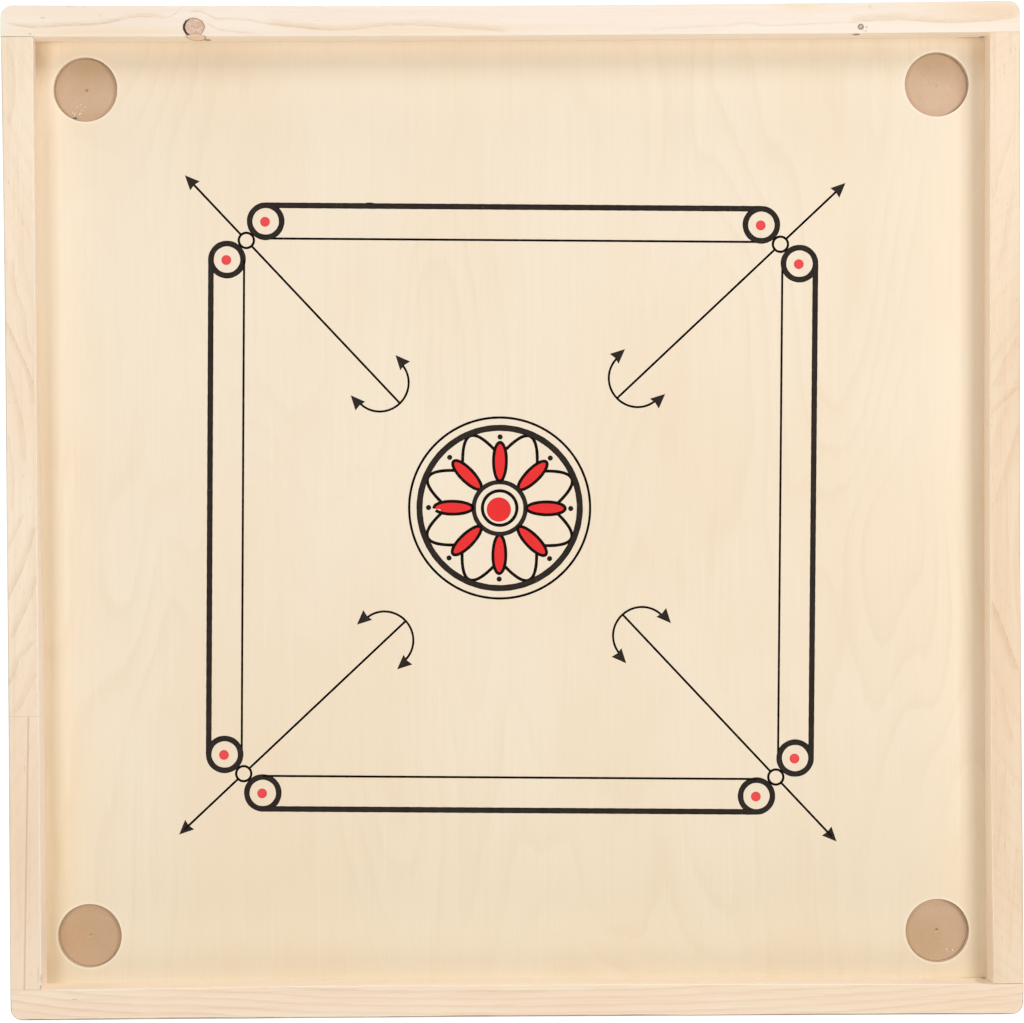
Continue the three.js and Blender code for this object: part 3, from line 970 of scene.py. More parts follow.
@dataclass(frozen=True)
class FibreboardFinish:
    """Matt brown fibreboard: felted fibres, specks and a dusty bloom."""

    name: str = "brown_fibreboard"
    ground: Rgb = (216, 186, 156)
    # dark marks: the cut sides, the spur's cone, and painted shade at the foot of the sides
    darkening_and_shade: Rgb = (112, 84, 60)
    bloom: Veil = Veil(Cloud((1 / 24, 1 / 24, 1 / 24), 4.0, 0.6), 0.3, 0.72, (209, 177, 145))
    fibre: Veil = Veil(Cloud((1.4, 0.5, 1.4), 5.0, 0.7, 1.2, 0.5), 0.5, 0.7, (186, 152, 120), 0.34)
    felt: Veil = Veil(
        Cloud((0.6, 1.8, 1.8), 5.0, 0.7, 1.0, -0.4, (4, 0, 0)), 0.52, 0.72, (230, 204, 178), 0.4
    )
    specks: Veil = Veil(Cloud((2.3, 2.3, 2.3)), 0.68, 0.76, (150, 110, 80), 0.5)
    # darker tops of the two rear pockets as painted shade, a pale patch lower in the right rear pocket as
    # painted light, and patches that make the front pockets' floors browner
    patches_and_painted_light: tuple[Blush, ...] = (
        Blush(-272, 290, (22, 11), (192, 154, 116), 0.6),
        Blush(277, 292, (22, 12), (196, 160, 124), 0.5),
        Blush(277, 263, (20, 15), (226, 196, 170), 0.45),
        Blush(-284, -274, (16, 20), (200, 158, 116), 0.6),
        Blush(-268, -272, (14, 22), (200, 166, 130), 0.55),
        Blush(266, -279, (17, 16), (196, 160, 116), 0.6),
        Blush(284, -270, (16, 20), (202, 168, 138), 0.5),
    )

    def material(self) -> Material:
        """The board's material.

        Returns:
            The finished material.
        """
        desk = Desk(bpy.data.materials.new(self.name))
        colour, _ = self.bloom.over(desk, shade(self.ground))
        spot = Spot.on(desk)
        for floor_patch in self.patches_and_painted_light:
            colour = floor_patch.over(desk, spot, colour)
        colour, _ = self.fibre.over(desk, colour)
        colour, felt = self.felt.over(desk, colour)
        colour, _ = self.specks.over(desk, colour)
        # dark marks, with painted shade at the foot of the sides
        colour = desk.tint(desk.mark("wear_and_painted_light", -1.0), colour, self.darkening_and_shade)
        return desk.finish(colour, roughness=0.88, specular=0.15, height=felt, relief=0.12, strength=0.5)


@dataclass(frozen=True)
class InkFinish:
    """Screen-printed ink: dense along its edges, thinner inside, with pinholes along the veneer's grain."""

    name: str
    dense: Rgb
    thin: Rgb
    pinholes: float
    hole: Rgb = (226, 205, 178)

    def material(self) -> Material:
        """The ink's material.

        Returns:
            The finished material.
        """
        desk = Desk(bpy.data.materials.new(self.name))
        cloud = Cloud((0.12, 0.07, 0.1), 4.0, 0.6).read(desk)
        # on the ink films this mark holds how thin the ink lies, set by each stroke and plate
        spread = desk.times(desk.mark("wear_and_painted_light", 1.0), desk.step(cloud, 0.35, 0.7, 0.75, 1.0))
        colour = desk.tint(spread, shade(self.dense), self.thin)
        grainy = Veil(Cloud((2.2, 0.35, 0.1), 3.0, 0.6), 0.55, 0.75, self.thin, 0.25)
        colour, grain = grainy.over(desk, colour)
        holes = Cloud((1.9, 1.1, 0.1), 2.0, 0.55, shift=(2, 8, 0)).read(desk)
        patch = Cloud((1 / 26, 1 / 26, 0.1), 1.0, shift=(5, 1, 0)).read(desk)
        bare = desk.times(desk.step(holes, 0.69, 0.75), desk.step(patch, 0.5, 0.64, 0.15, self.pinholes))
        colour = desk.tint(bare, colour, self.hole)
        return desk.finish(colour, roughness=0.62, specular=0.04, height=grain, relief=0.02, strength=0.25)


@dataclass(frozen=True)
class BeechFinish:
    """Fluted dowel stock: pinkish beech with short dark flecks."""

    name: str = "dowel_stock"
    ground: Rgb = (222, 188, 146)
    flecks: Veil = Veil(Cloud((1.3, 0.25, 1.3), 3.0), 0.52, 0.7, (168, 122, 82), 0.6)

    def material(self) -> Material:
        """The dowels' material.

        Returns:
            The finished material.
        """
        desk = Desk(bpy.data.materials.new(self.name))
        colour, flecks = self.flecks.over(desk, shade(self.ground))
        return desk.finish(colour, roughness=0.6, specular=0.3, height=flecks, relief=0.04, strength=0.4)


@dataclass(frozen=True)
class ZincFinish:
    """Bright zinc-plated steel with a faint yellow cast and turning marks."""

    name: str = "zinc_plate"
    ground: Rgb = (205, 201, 186)
    cast: Veil = Veil(Cloud((0.5, 0.5, 0.5), 4.0, 0.6), 0.4, 0.7, (196, 180, 140))
    scuff: Cloud = Cloud((3, 3, 3), 3.0)
    roughness: Pair = (0.28, 0.46)

    def material(self) -> Material:
        """The screws' material.

        Returns:
            The finished material.
        """
        desk = Desk(bpy.data.materials.new(self.name))
        desk.shader.inputs["Metallic"].default_value = 1.0
        colour, _ = self.cast.over(desk, shade(self.ground))
        scuff = self.scuff.read(desk)
        roughness = desk.step(scuff, 0.3, 0.7, *self.roughness)
        return desk.finish(colour, roughness, specular=0.5, height=scuff, relief=0.02, strength=0.3)


@dataclass(frozen=True)
class Chip:
    """A dip in the top of a rail: an oval, or a crescent on one side of a round knot."""

    x: float
    y: float
    reach: Pair
    depth: float
    inner: float = 0.0
    side: float = 0.0
    core: float = 0.6
    crescent: float = 0.07

    def dip(self, x: Array, y: Array) -> Array:
        """Depth at each place: a bell about the chip's oval, or about a part of its ring.

        Args:
            x: places in X.
            y: places in Y.

        Returns:
            Depths in millimetres.
        """
        far = np.hypot((x - self.x) / self.reach[0], (y - self.y) / self.reach[1])
        if not self.inner:
            return self.depth * np.exp(-((far / self.core) ** 4))
        angle = np.arctan2(y - self.y, x - self.x) - self.side
        window = np.clip((np.cos(angle) - 0.1) / 0.7, 0, 1)
        return self.depth * window * np.exp(-(((far - self.inner) / self.crescent) ** 2))


@dataclass(frozen=True)
class Outline:
    """A rail's plan: points, inward directions, and which points the groove moves, face out or are free."""

    points: Array
    inward: Array
    grooved: Array
    outer: Array
    free: Array


@dataclass(frozen=True)
class Section:
    """Rows of a rail's section, from the middle of its bottom to the middle of its top.

    Each row has its share of the arris drawn in, its level, its rise in arrises, its share of the way
    to the middle line, and one where it lies in the groove.
    """

    drawn: Array
    base: Array
    rise: Array
    cap: Array
    groove: Array


@dataclass
class Rail:
    """One rail, in a local frame of along and across with its outer side at positive across.

    Its skin is the plan outline drawn in by an eased section: a point is the outline's point moved
    along its inward direction, then towards the rail's middle line on the top and bottom. The
    groove for the panels is a step across the rail between two levels.
    """

    name: str
    slot: str
    finish: PineFinish
    half_length: float
    turn: float
    centre: Pair
    corner: float = 0.0
    half_width: float = 10.0
    height: float = 45.0
    arris: float = 0.75
    outer_arris: float = 0.75
    joint_arris: float = 0.22
    joint_start: float = 305.0
    joint_margin: float = 0.9
    square_end: float = 1.5
    end_face: Pair = (-0.2, 0.4)
    groove_depth: float = 6.0
    groove_bottom: float = 15.0
    groove_top: float = 27.06
    groove_end: float = 311.0
    wall_levels: Pair = (36.0, 43.0)
    station: float = 3.0
    chip_reach: float = 10.0
    chip_station: float = 0.3
    corner_steps: int = 13
    arris_steps: int = 7
    bottom_rows: int = 5
    top_rows: int = 17
    unevenness: float = 0.22
    wave_length: float = 240.0
    wave_shear: float = 40.0
    bow: float = 0.5
    inner_shift: tuple[Pair, ...] = ((0.0, 0.0),)
    undercut: tuple[Pair, ...] = ((0.0, 0.0),)
    leans: tuple[tuple[float, ...], ...] = ((1, -1, 1.1, 0, 225, 1.2), (-1, 1, 0.7, 150, 160, 2))
    # darker along the outer top edge as painted shade, weaker near the rail's ends
    grime_and_shade: float = 0.3
    grime_and_shade_ends: Pair = (0.1, 0.1)
    grime_and_shade_fade: float = 14.0
    grime_and_shade_unevenness: float = 0.15
    grime_and_shade_wave: float = 120.0
    grime_and_shade_seed: int = 40
    joint_grime: float = 0.5
    joint_contrast: float = 0.3
    # paler along the inner top edge: sanded wood with a painted highlight
    rub_and_highlight: float = 0.3
    # a painted highlight on the top just inside the outer edge
    painted_lip_highlight: float = 0.0
    chips: tuple[Chip, ...] = ()
    seed: int = 1

    @property
    def end(self) -> float:
        """Where the middle line ends, from the rail's middle."""
        return self.half_length - (self.half_width if self.corner else self.square_end)

    def stations(self) -> Array:
        """Places along the rail, closer together about its chips.

        Returns:
            Sorted places, from one end of the middle line to the other.
        """
        parts = [np.linspace(-self.end, self.end, int(2 * self.end / self.station))]
        parts.append([self.joint_start, -self.joint_start])
        if self.corner:
            parts.append([self.groove_end, -self.groove_end])
        for chip in self.chips:
            place = spun(np.array([chip.x - self.centre[0], chip.y - self.centre[1]]), -self.turn)[0]
            parts.append(place + np.arange(-self.chip_reach, self.chip_reach + 0.01, self.chip_station))
        places = np.unique(np.concatenate(parts).round(3))
        return places[np.abs(places) <= self.end + CLOSE]

    def outline(self) -> Outline:
        """Plan outline, counter-clockwise from the inner side and closed.

        Returns:
            The outline, whose groove ends in a step where the rail has rounded corners.
        """
        along = self.stations()
        half, wide, corner = self.half_length, self.half_width, self.corner
        inner, grooved = along, np.ones(len(along), dtype=bool)
        swing = np.array([QUARTER / 2])
        if corner:
            inner = np.sort(np.concatenate([along, [self.groove_end, -self.groove_end]]))
            edge = np.flatnonzero(np.isclose(np.abs(inner), self.groove_end))
            order = np.arange(len(inner))
            grooved = (order >= edge[1]) & (order <= edge[2])
            swing = np.linspace(0, QUARTER, self.corner_steps)
        arc = lined(np.cos(swing), np.sin(swing))
        inward = -arc if corner else -arc * math.sqrt(2)
        right = arc * corner + [half - corner, wide - corner]
        rise = np.linspace(self.end_face[0] * wide, self.end_face[1] * (wide - corner), 2)
        mirror = np.array([-1, 1])
        runs = (
            (lined(-half, -wide), (1, 1), not corner),
            (lined(inner, -wide), (0, 1), grooved),
            (lined(half, -wide), (-1, 1), not corner),
            (lined(half, rise), (-1, 0), False),
            (right, inward, False),
            (lined(along[::-1], wide), (0, -1), False),
            (right[::-1] * mirror, inward[::-1] * mirror, False),
            (lined(-half, rise[::-1]), (1, 0), False),
        )
        points = np.concatenate([run for run, _, _ in runs])
        towards = np.concatenate([np.broadcast_to(ahead, run.shape) for run, ahead, _ in runs])
        moved = np.concatenate([np.broadcast_to(flag, len(run)) for run, _, flag in runs])
        loop = np.append(np.arange(len(points)), 0)
        outer = points[:, 1] > -wide + CLOSE
        free = np.abs(points[:, 0]) < self.joint_start - self.joint_margin
        if corner:
            free |= outer
        return Outline(points[loop], towards[loop], moved[loop], outer[loop], free[loop])

    def section(self) -> Section:
        """The eased section, whose arrises are quarter circles.

        Returns:
            The section's rows.
        """
        swing = np.linspace(0, QUARTER, self.arris_steps)
        ease, lift = 1 - np.sin(swing), 1 - np.cos(swing)
        low = np.linspace(1, 0, self.bottom_rows)[:-1]
        high = np.linspace(0, 1, self.top_rows)[1:]
        bottom, top = self.groove_bottom, self.groove_top
        levels = np.array([bottom, bottom, top, top, *self.wall_levels])
        inside = np.array([0, 1, 1, 0, 0, 0])
        parts = (
            (1, 0, 0, low, 0),
            (ease, 0, lift, 0, 0),
            (0, levels, 0, 0, inside),
            (ease[::-1], self.height, -lift[::-1], 0, 0),
            (1, self.height, 0, high, 0),
        )
        rows = [np.stack(np.broadcast_arrays(*part), axis=-1) for part in parts]
        return Section(*np.concatenate(rows).T)

    def lean(self, x: Array, y: Array) -> Array:
        """Shift in X of the outer faces, which stand out a little at two corners of the board.

        A lean is the corner's side in X and in Y, its most, and the start, run and power of its growth in Y.

        Args:
            x: places in X.
            y: places in Y.

        Returns:
            Shifts that grow across the rail's width and towards the corner.
        """
        shift = np.zeros_like(x)
        for side, end, most, start, run, power in self.leans:
            across = np.clip((side * x - self.joint_start) / (2 * self.half_width), 0, 1)
            shift += side * most * across * np.clip((end * y - start) / run, 0, 1) ** power
        return shift

    def shape(self, line: Outline, rows: Section) -> Array:
        """Carries the section round the outline, with groove, bow, undercut, lean and chips.

        Args:
            line: the plan outline.
            rows: the section.

        Returns:
            Points of shape (rows, outline points, 3) in the board's frame.
        """
        x, across = line.points.T
        wide = 2 * self.half_width
        wave = 1 + self.unevenness * waver(x + self.wave_shear * across, self.seed, self.wave_length)
        eased = np.where(line.outer, self.outer_arris, self.arris) * wave
        radius = np.where(line.free, eased, self.joint_arris)
        plan = line.points + line.inward * (rows.drawn[:, None] * radius)[..., None]
        middle = lined(np.clip(x, -self.end, self.end), 0.0)
        plan = plan + rows.cap[:, None, None] * (middle - plan)
        plan[..., 1] += rows.groove[:, None] * line.grooved * self.groove_depth
        hollow = self.bow * np.clip(1 - (plan[..., 0] / self.half_length) ** 2, 0, 1)
        plan[..., 1] -= hollow * (plan[..., 1] + self.half_width) / wide
        level = rows.base[:, None] + rows.rise[:, None] * radius
        lifted = ((rows.base >= self.groove_top) & (rows.groove == 0))[:, None]
        shift = np.interp(x, *np.array(self.inner_shift).T)
        plan[..., 1] -= lifted * shift * np.clip(0.5 - plan[..., 1] / wide, 0, 1)
        drop = np.clip((self.height - level) / (self.height - self.groove_top), 0, 1)
        under = np.where(line.outer, 0.0, np.interp(x, *np.array(self.undercut).T))
        plan[..., 1] += lifted * drop * under
        grid = spun(raised(plan, level), self.turn, self.centre)
        grid[..., 0] += self.lean(grid[..., 0], grid[..., 1])
        upper = (rows.base >= self.height)[:, None]
        for chip in self.chips:
            grid[..., 2] -= upper * chip.dip(grid[..., 0], grid[..., 1])
        return grid

    def marks(self, line: Outline, rows: Section, grid: Array) -> tuple[Array, Array]:
        """Marks of the arrises and the walls: paler sanded inner edges with a painted highlight, darker outer
        edges as painted shade, dark butt joints, a painted highlight just inside the outer edge, and where
        painted light goes on the inner walls.

        Args:
            line: the plan outline.
            rows: the section.
            grid: the rail's points.

        Returns:
            The mark of sanded edges, dark joints and painted light and shade, and the share of painted light
            on the inner walls, at each point.
        """
        x = line.points[:, 0]
        edge = rows.cap == 0
        eased = edge & (rows.drawn > 0) & (rows.drawn < 0.98) & (rows.base > 0)
        top = edge & (rows.base >= self.height)
        foot = (top & (rows.drawn < 0.02))[:, None] & line.outer
        # painted highlight: the top's row just inside the outer arris
        painted_lip_highlight = (top & (rows.drawn > 0.98))[:, None] & line.outer
        least = np.where(x < 0, *self.grime_and_shade_ends)
        fade = np.clip((self.half_length - np.abs(x)) / self.grime_and_shade_fade, least, 1)
        wave = waver(x, self.seed + self.grime_and_shade_seed, self.grime_and_shade_wave)
        # painted shade along the outer edges
        grime_and_shade = self.grime_and_shade * fade * (1 + self.grime_and_shade_unevenness * (wave - 1))
        joint = self.joint_contrast * np.sign(grid[-1, :, 0] * grid[-1, :, 1]) - self.joint_grime
        mark = np.where(line.free, np.where(line.outer, -grime_and_shade, self.rub_and_highlight), joint)
        # painted light goes on the inner walls between the joints
        inner = ~line.outer & (np.abs(x) < self.joint_start + 0.01)
        painted_wall_light = (edge & (rows.drawn < 0.7) & (rows.base >= self.groove_top))[:, None] & inner
        return (eased[:, None] | foot) * mark + painted_lip_highlight * self.painted_lip_highlight, painted_wall_light * 1.0

    def build(self) -> None:
        """Makes and dresses the rail."""
        line, rows = self.outline(), self.section()
        grid = self.shape(line, rows)
        wear_and_painted_light, painted_wall_light = self.marks(line, rows, grid)
        skin = Skin(self.name + "_timber")
        skin.add(grid, wear_and_painted_light, painted_wall_light=painted_wall_light)
        skin.piece(self.finish.material(), self.slot, self.name)


@dataclass
class RailFrame:
    """The four rails: the rear and front ones run the full width, the side ones butt between them."""

    reach: float = 315.0
    half_width: float = 325.0
    half_joint: float = 305.0
    corner: float = 7.5

    def rear(self) -> Rail:
        """The rear rail, with one wandering yearly line, its round knot and its pin knot.

        Returns:
            The rail.
        """
        torn = math.radians(190)
        knots = (
            Knot((-202.4, -4.7, 45), (6.8, 5.9, 9), (233, 202, 180), (188, 146, 120), 0.93, 0.7, 0.95, torn),
            Knot(
                (-201.4, -10.4, 44), (6.2, 1.0, 14.5), (250, 222, 192), (224, 188, 154), 0.9, 0.6,
                bends_grain=False,
            ),
            Knot((223.2, -6.3, 45), (1.9, 1.8, 9), (214, 198, 184), (150, 130, 116), 0.62, 0.8),
        )
        nicks_and_shade = (
            NickAndShade((221.0, -10, 40.5), (2.8, 2.5, 3.2), 0.85, (112, 86, 62)),
            NickAndShade((-195.2, -10, 33.0), (2.6, 2.5, 4.5), 0.7, (120, 90, 64)),
            NickAndShade((226.9, -6.6, 45), (0.9, 0.7, 9), 0.35),
            NickAndShade((226.4, -9.1, 45), (0.9, 0.6, 9), 0.35),
            NickAndShade((224.7, -8.4, 45), (0.6, 0.5, 9), 0.3),
            NickAndShade((-298.6, 1.9, 45), (1.9, 0.5, 9), 0.3),
            NickAndShade((-262.1, 3.4, 45), (1.6, 0.8, 9), 0.14, (196, 176, 130)),
            NickAndShade((-281.3, 9.0, 45), (3.0, 0.5, 9), 0.25, (170, 160, 150)),
            NickAndShade((229.0, 6.5, 45), (1.6, 1.6, 9), 0.16, (190, 160, 120)),
            # painted shade at the foot of the inner walls in the corners
            NickAndShade((297.0, -10, 27.6), (10, 1.5, 2.0), 0.5, (150, 118, 80)),
            NickAndShade((304.0, -10, 29.0), (2.0, 1.5, 4.0), 0.6, (108, 82, 50)),
            NickAndShade((-297.0, -10, 27.6), (10, 1.5, 1.6), 0.4, (160, 128, 92)),
            NickAndShade((-306.9, -8.4, 45), (1.2, 0.5, 9), 0.4),
        )
        bold = ((-324, -0.6), (-310, -3.9), (-283, -3.2), (-258, -1.7), (-241, 1.9), (-230, 2.2), (-219, 1.2))
        behind = ((-207, 4.3), (-200, 5.2), (-195, 4.0), (-189, 1.2), (-172, 0.0), (-149, -3.8), (-120, -6.3))
        broad = ((-160, -1.5), (-131, -5.2), (-111, -6.9), (-83, -4.6), (-61, -4.0), (-40, -5.2), (1, -8.9))
        faint = ((86, -8.8), (107, -6.6), (139, -5.2), (150, -3.9), (164, -5.3), (196, -4.4), (224, -3.4))
        soft = ((214, -4.2), (244, -1.9), (276, -3.9), (297, -3.3), (313, -1.7), (326, 0.0))
        lines = (
            GrainLine(bold, 3.4, 0.62),
            GrainLine(((-224, 1.0), (-218, 1.8), (-214, 3.9), (-211, 7.1), (-209, 9.6)), 1.5, 0.4),
            GrainLine(behind, 2.0, 0.42),
            GrainLine(broad, 5.0, 0.5),
            GrainLine(((-195, -1.5), (-189, -5.2), (-183, -6.8), (-162, -9.0)), 2.0, 0.4),
            GrainLine(faint, 1.8, 0.3),
            GrainLine(soft, 6.5, 0.55),
        )
        blushes = (
            Blush(-265, -7.5, (60, 3.5), (247, 222, 186), 0.7),
            Blush(-285, 5.0, (45, 6), (246, 224, 196), 0.4),
            Blush(-60, -7.0, (75, 3.5), (246, 222, 184), 0.55),
            Blush(60, 3.0, (150, 7), (252, 234, 220), 0.6),
            Blush(305, 4.0, (40, 6), (240, 206, 160), 0.55),
            Blush(186, 6.5, (14, 2.2), (246, 222, 176), 0.6),
        )
        # the paler colour on the inner walls is painted light
        finish = PineFinish(
            "rear_pine", Grain.ALONG_X, (0, self.reach),
            early=(252, 238, 222), late=(222, 186, 140), tint=(250, 233, 217), lean=(0.0006, 0.085, 0.045),
            sway=0.75, sway_length=170.0, depth=0.12, seed=2.3, pores=0.12, fibre=0.45,
            painted_wall_light=(249, 233, 212), painted_wall_light_share=0.85, knots=knots, nicks_and_shade=nicks_and_shade, lines=lines, blushes=blushes,
        )
        chips = (
            Chip(-202.4, 310.3, (6.6, 5.7), 0.7, 0.95, torn),
            Chip(223.2, 308.7, (2.2, 2.2), 0.12, 0.8, math.radians(200)),
        )
        # a strong painted highlight along the inner top edge, and light painted shade along the outer edge
        return Rail(
            "rear_rail", "pine_rear", finish, self.half_width, 0.0, (0, self.reach), self.corner,
            bow=1.55, arris=0.45, outer_arris=0.45, grime_and_shade=0.16, rub_and_highlight=0.9, top_rows=33, chips=chips, seed=3,
            inner_shift=((-325, 0), (-200, 0.4), (0, 0.65), (200, 0.4), (325, 0)),
        )

    def front(self) -> Rail:
        """The front rail, with straight close grain, dark where it meets the right rail.

        Returns:
            The rail.
        """
        nicks_and_shade = (
            # painted shade on the inner walls in the right corner
            NickAndShade((297.0, 10, 27.6), (10, 1.5, 1.6), 0.5, (150, 118, 80)),
            NickAndShade((304.0, 10, 28.5), (2.0, 1.5, 3.5), 0.65, (100, 76, 46)),
            NickAndShade((302.0, 10, 37.0), (6.0, 1.5, 9.0), 0.35, (150, 124, 98)),
            NickAndShade((-283.7, 3.7, 45), (2.0, 0.45, 9), 0.32, (150, 120, 96)),
        )
        # painted light on the inner walls, and a dark colour for the painted shade along the outer edge
        finish = PineFinish(
            "front_pine", Grain.ALONG_X, (0, -self.reach),
            early=(252, 232, 206), late=(220, 180, 138), tint=(252, 225, 199), lean=(0.0004, 0.2, 0.07),
            bow=-0.00003, sway=0.9, sway_length=150.0, depth=0.36, seed=5.1, pores=0.2, fibre=1.1, ragged=0.7,
            painted_wall_light=(249, 234, 213), painted_wall_light_share=0.8, grime_and_shade=(108, 92, 78), nicks_and_shade=nicks_and_shade,
            blushes=(Blush(240, 0, (110, 40), (246, 220, 188), 0.3),),
        )
        # a strong dark line of painted shade along the outer edge, with a painted highlight just inside it
        return Rail(
            "front_rail", "pine_front", finish, self.half_width, math.pi, (0, -self.reach), self.corner,
            bow=0.45, outer_arris=1.3, grime_and_shade=0.95, grime_and_shade_ends=(0.35, 0.3), painted_lip_highlight=0.7, seed=7,
            inner_shift=((-280, 0), (-150, 0.9), (0, 1.2), (100, 1.3), (190, 0.7), (280, 0)),
        )

    def left(self) -> Rail:
        """The left rail: slanting flat-sawn grain, one finger joint and one lengthwise glue line.

        Returns:
            The rail.
        """
        nicks_and_shade = (
            NickAndShade((-298.5, -9.8, 45), (3.6, 0.45, 3), 0.45, (146, 100, 68)),
            NickAndShade((-303.4, -9.5, 45), (1.6, 0.5, 3), 0.5, (140, 96, 64)),
            NickAndShade((-296.0, -8.0, 45), (6.0, 0.35, 9), 0.3),
        )
        lines = (
            GrainLine(((69, -9.4), (81, -8.9), (91, -5.8), (105, 0.4), (117, 5.6), (126, 10)), 4.5, 0.47),
            GrainLine(((99, -9.3), (114, -4.7), (130, -3.2), (144, 2.0), (165, 2.9)), 4.5, 0.34),
            GrainLine(((32, -2.9), (48, -2.5), (63, -0.5), (84, 5.2), (97, 8.2)), 5.2, 0.32),
            GrainLine(((1, 5.3), (37, 5.9), (53, 7.8)), 3.8, 0.28),
            GrainLine(((-56, 9.5), (-43, 3.7), (-34, -0.7), (-15, -7.3), (-6, -10)), 6.0, 0.47),
            GrainLine(((-80, 6.5), (-67, 0.7), (-50, -6.9), (-38, -9.6)), 6.0, 0.40),
            GrainLine(((-110, 9.0), (-99, 4.2), (-92, 2.0), (-86, -4.0), (-80, -8.5)), 6.0, 0.38),
            GrainLine(((-128, 4.5), (-121, 0.6), (-112, -4.3), (-101, -8.8)), 6.0, 0.28),
            GrainLine(((-22, 8.5), (-12, 3.9), (1, -2.3)), 4.5, 0.30),
            GrainLine(((248, 5.2), (260, 3.1), (271, 1.9), (283, 2.3), (301, 4.6)), 4.5, 0.28),
        )
        seams = (
            GlueLine((-129.3, -10), (-129.3, 10), 0.3, 0.3),
            GlueLine((-129.6, -3.3), (-305.0, 0.9), 0.8, 0.42),
        )
        # the paler colour on the inner walls is painted light
        finish = PineFinish(
            "left_pine", Grain.ALONG_Y, (-self.reach, 0),
            early=(252, 233, 208), late=(220, 182, 138), tint=(249, 227, 200), lean=(0.002, 0.1, 0.05),
            bow=-0.00012, bow_centre=30.0, sway=0.6, sway_length=120.0, depth=0.1, seed=8.7, pores=0.34,
            fibre=0.8, painted_wall_light=(252, 237, 221), painted_wall_light_share=0.9, nicks_and_shade=nicks_and_shade, lines=lines, seams=seams,
            blushes=(Blush(-225, 0, (75, 40), (236, 204, 172), 0.45),),
        )
        chips = (Chip(-305.5, -298.5, (1.0, 4.0), 0.8), Chip(-305.6, -303.2, (1.2, 1.6), 0.8))
        return Rail(
            "left_rail", "pine_left", finish, self.half_joint, QUARTER, (-self.reach, 0),
            chips=chips, seed=11, undercut=((-100, 0), (0, 1.2), (60, 2.2), (305, 2.2)),
        )

    def right(self) -> Rail:
        """The right rail: a few broad flat-sawn bands with one sharp edge each.

        Returns:
            The rail.
        """
        lines = (
            GrainLine(((77, 9.0), (98, -0.6), (113, -8.6)), -9.0, 0.3),
            GrainLine(((60, 10.0), (70, -0.6), (79, -9.6)), 8.0, 0.42),
            GrainLine(((2, 7.6), (34, -2.1), (56, -9.4)), -7.0, 0.32),
            GrainLine(((-105, -9.6), (-94, -4.8), (-75, 1.8), (-57, 9.4)), 7.0, 0.5),
            GrainLine(((-150, -5.6), (-130, -0.4), (-113, 1.7)), 5.0, 0.3),
            GrainLine(((150, 6), (175, 1), (205, -5)), -6.0, 0.22),
            GrainLine(((196, 8), (218, 2), (244, -6)), 4.0, 0.2),
            GrainLine(((-235, 7), (-200, 3), (-165, 0)), 5.0, 0.26),
            GrainLine(((-288, -2), (-250, -5), (-215, -7)), 3.0, 0.22),
        )
        blushes = (
            Blush(235, 0, (80, 40), (253, 233, 208), 0.6),
            Blush(-120, 0, (170, 40), (240, 212, 178), 0.3),
        )
        # painted light on the inner walls, and a grey colour for the painted shade along the outer edge
        finish = PineFinish(
            "right_pine", Grain.ALONG_Y, (self.reach, 0),
            early=(246, 223, 194), late=(216, 177, 132), tint=(242, 215, 184), lean=(0.004, 0.08, 0.05),
            bow=0.0002, bow_centre=-20.0, sway=0.7, sway_length=130.0, depth=0.18, seed=13.2, pores=0.45,
            fibre=1.2, painted_wall_light=(255, 236, 210), painted_wall_light_share=0.9, grime_and_shade=(140, 122, 110),
            lines=lines, blushes=blushes,
        )
        # painted shade along the outer edge
        return Rail(
            "right_rail", "pine_right", finish, self.half_joint, -QUARTER, (self.reach, 0),
            grime_and_shade=0.5, seed=13,
            inner_shift=((-305, -0.8), (-150, -0.3), (0, 0), (150, -0.3), (240, -1.0), (305, -2.0)),
            undercut=((-305, 0.5), (-150, 0.2), (0, 0), (150, 0), (305, -0.6)),
        )

    def build(self) -> None:
        """Makes the four rails."""
        for rail in (self.rear(), self.front(), self.left(), self.right()):
            rail.build()


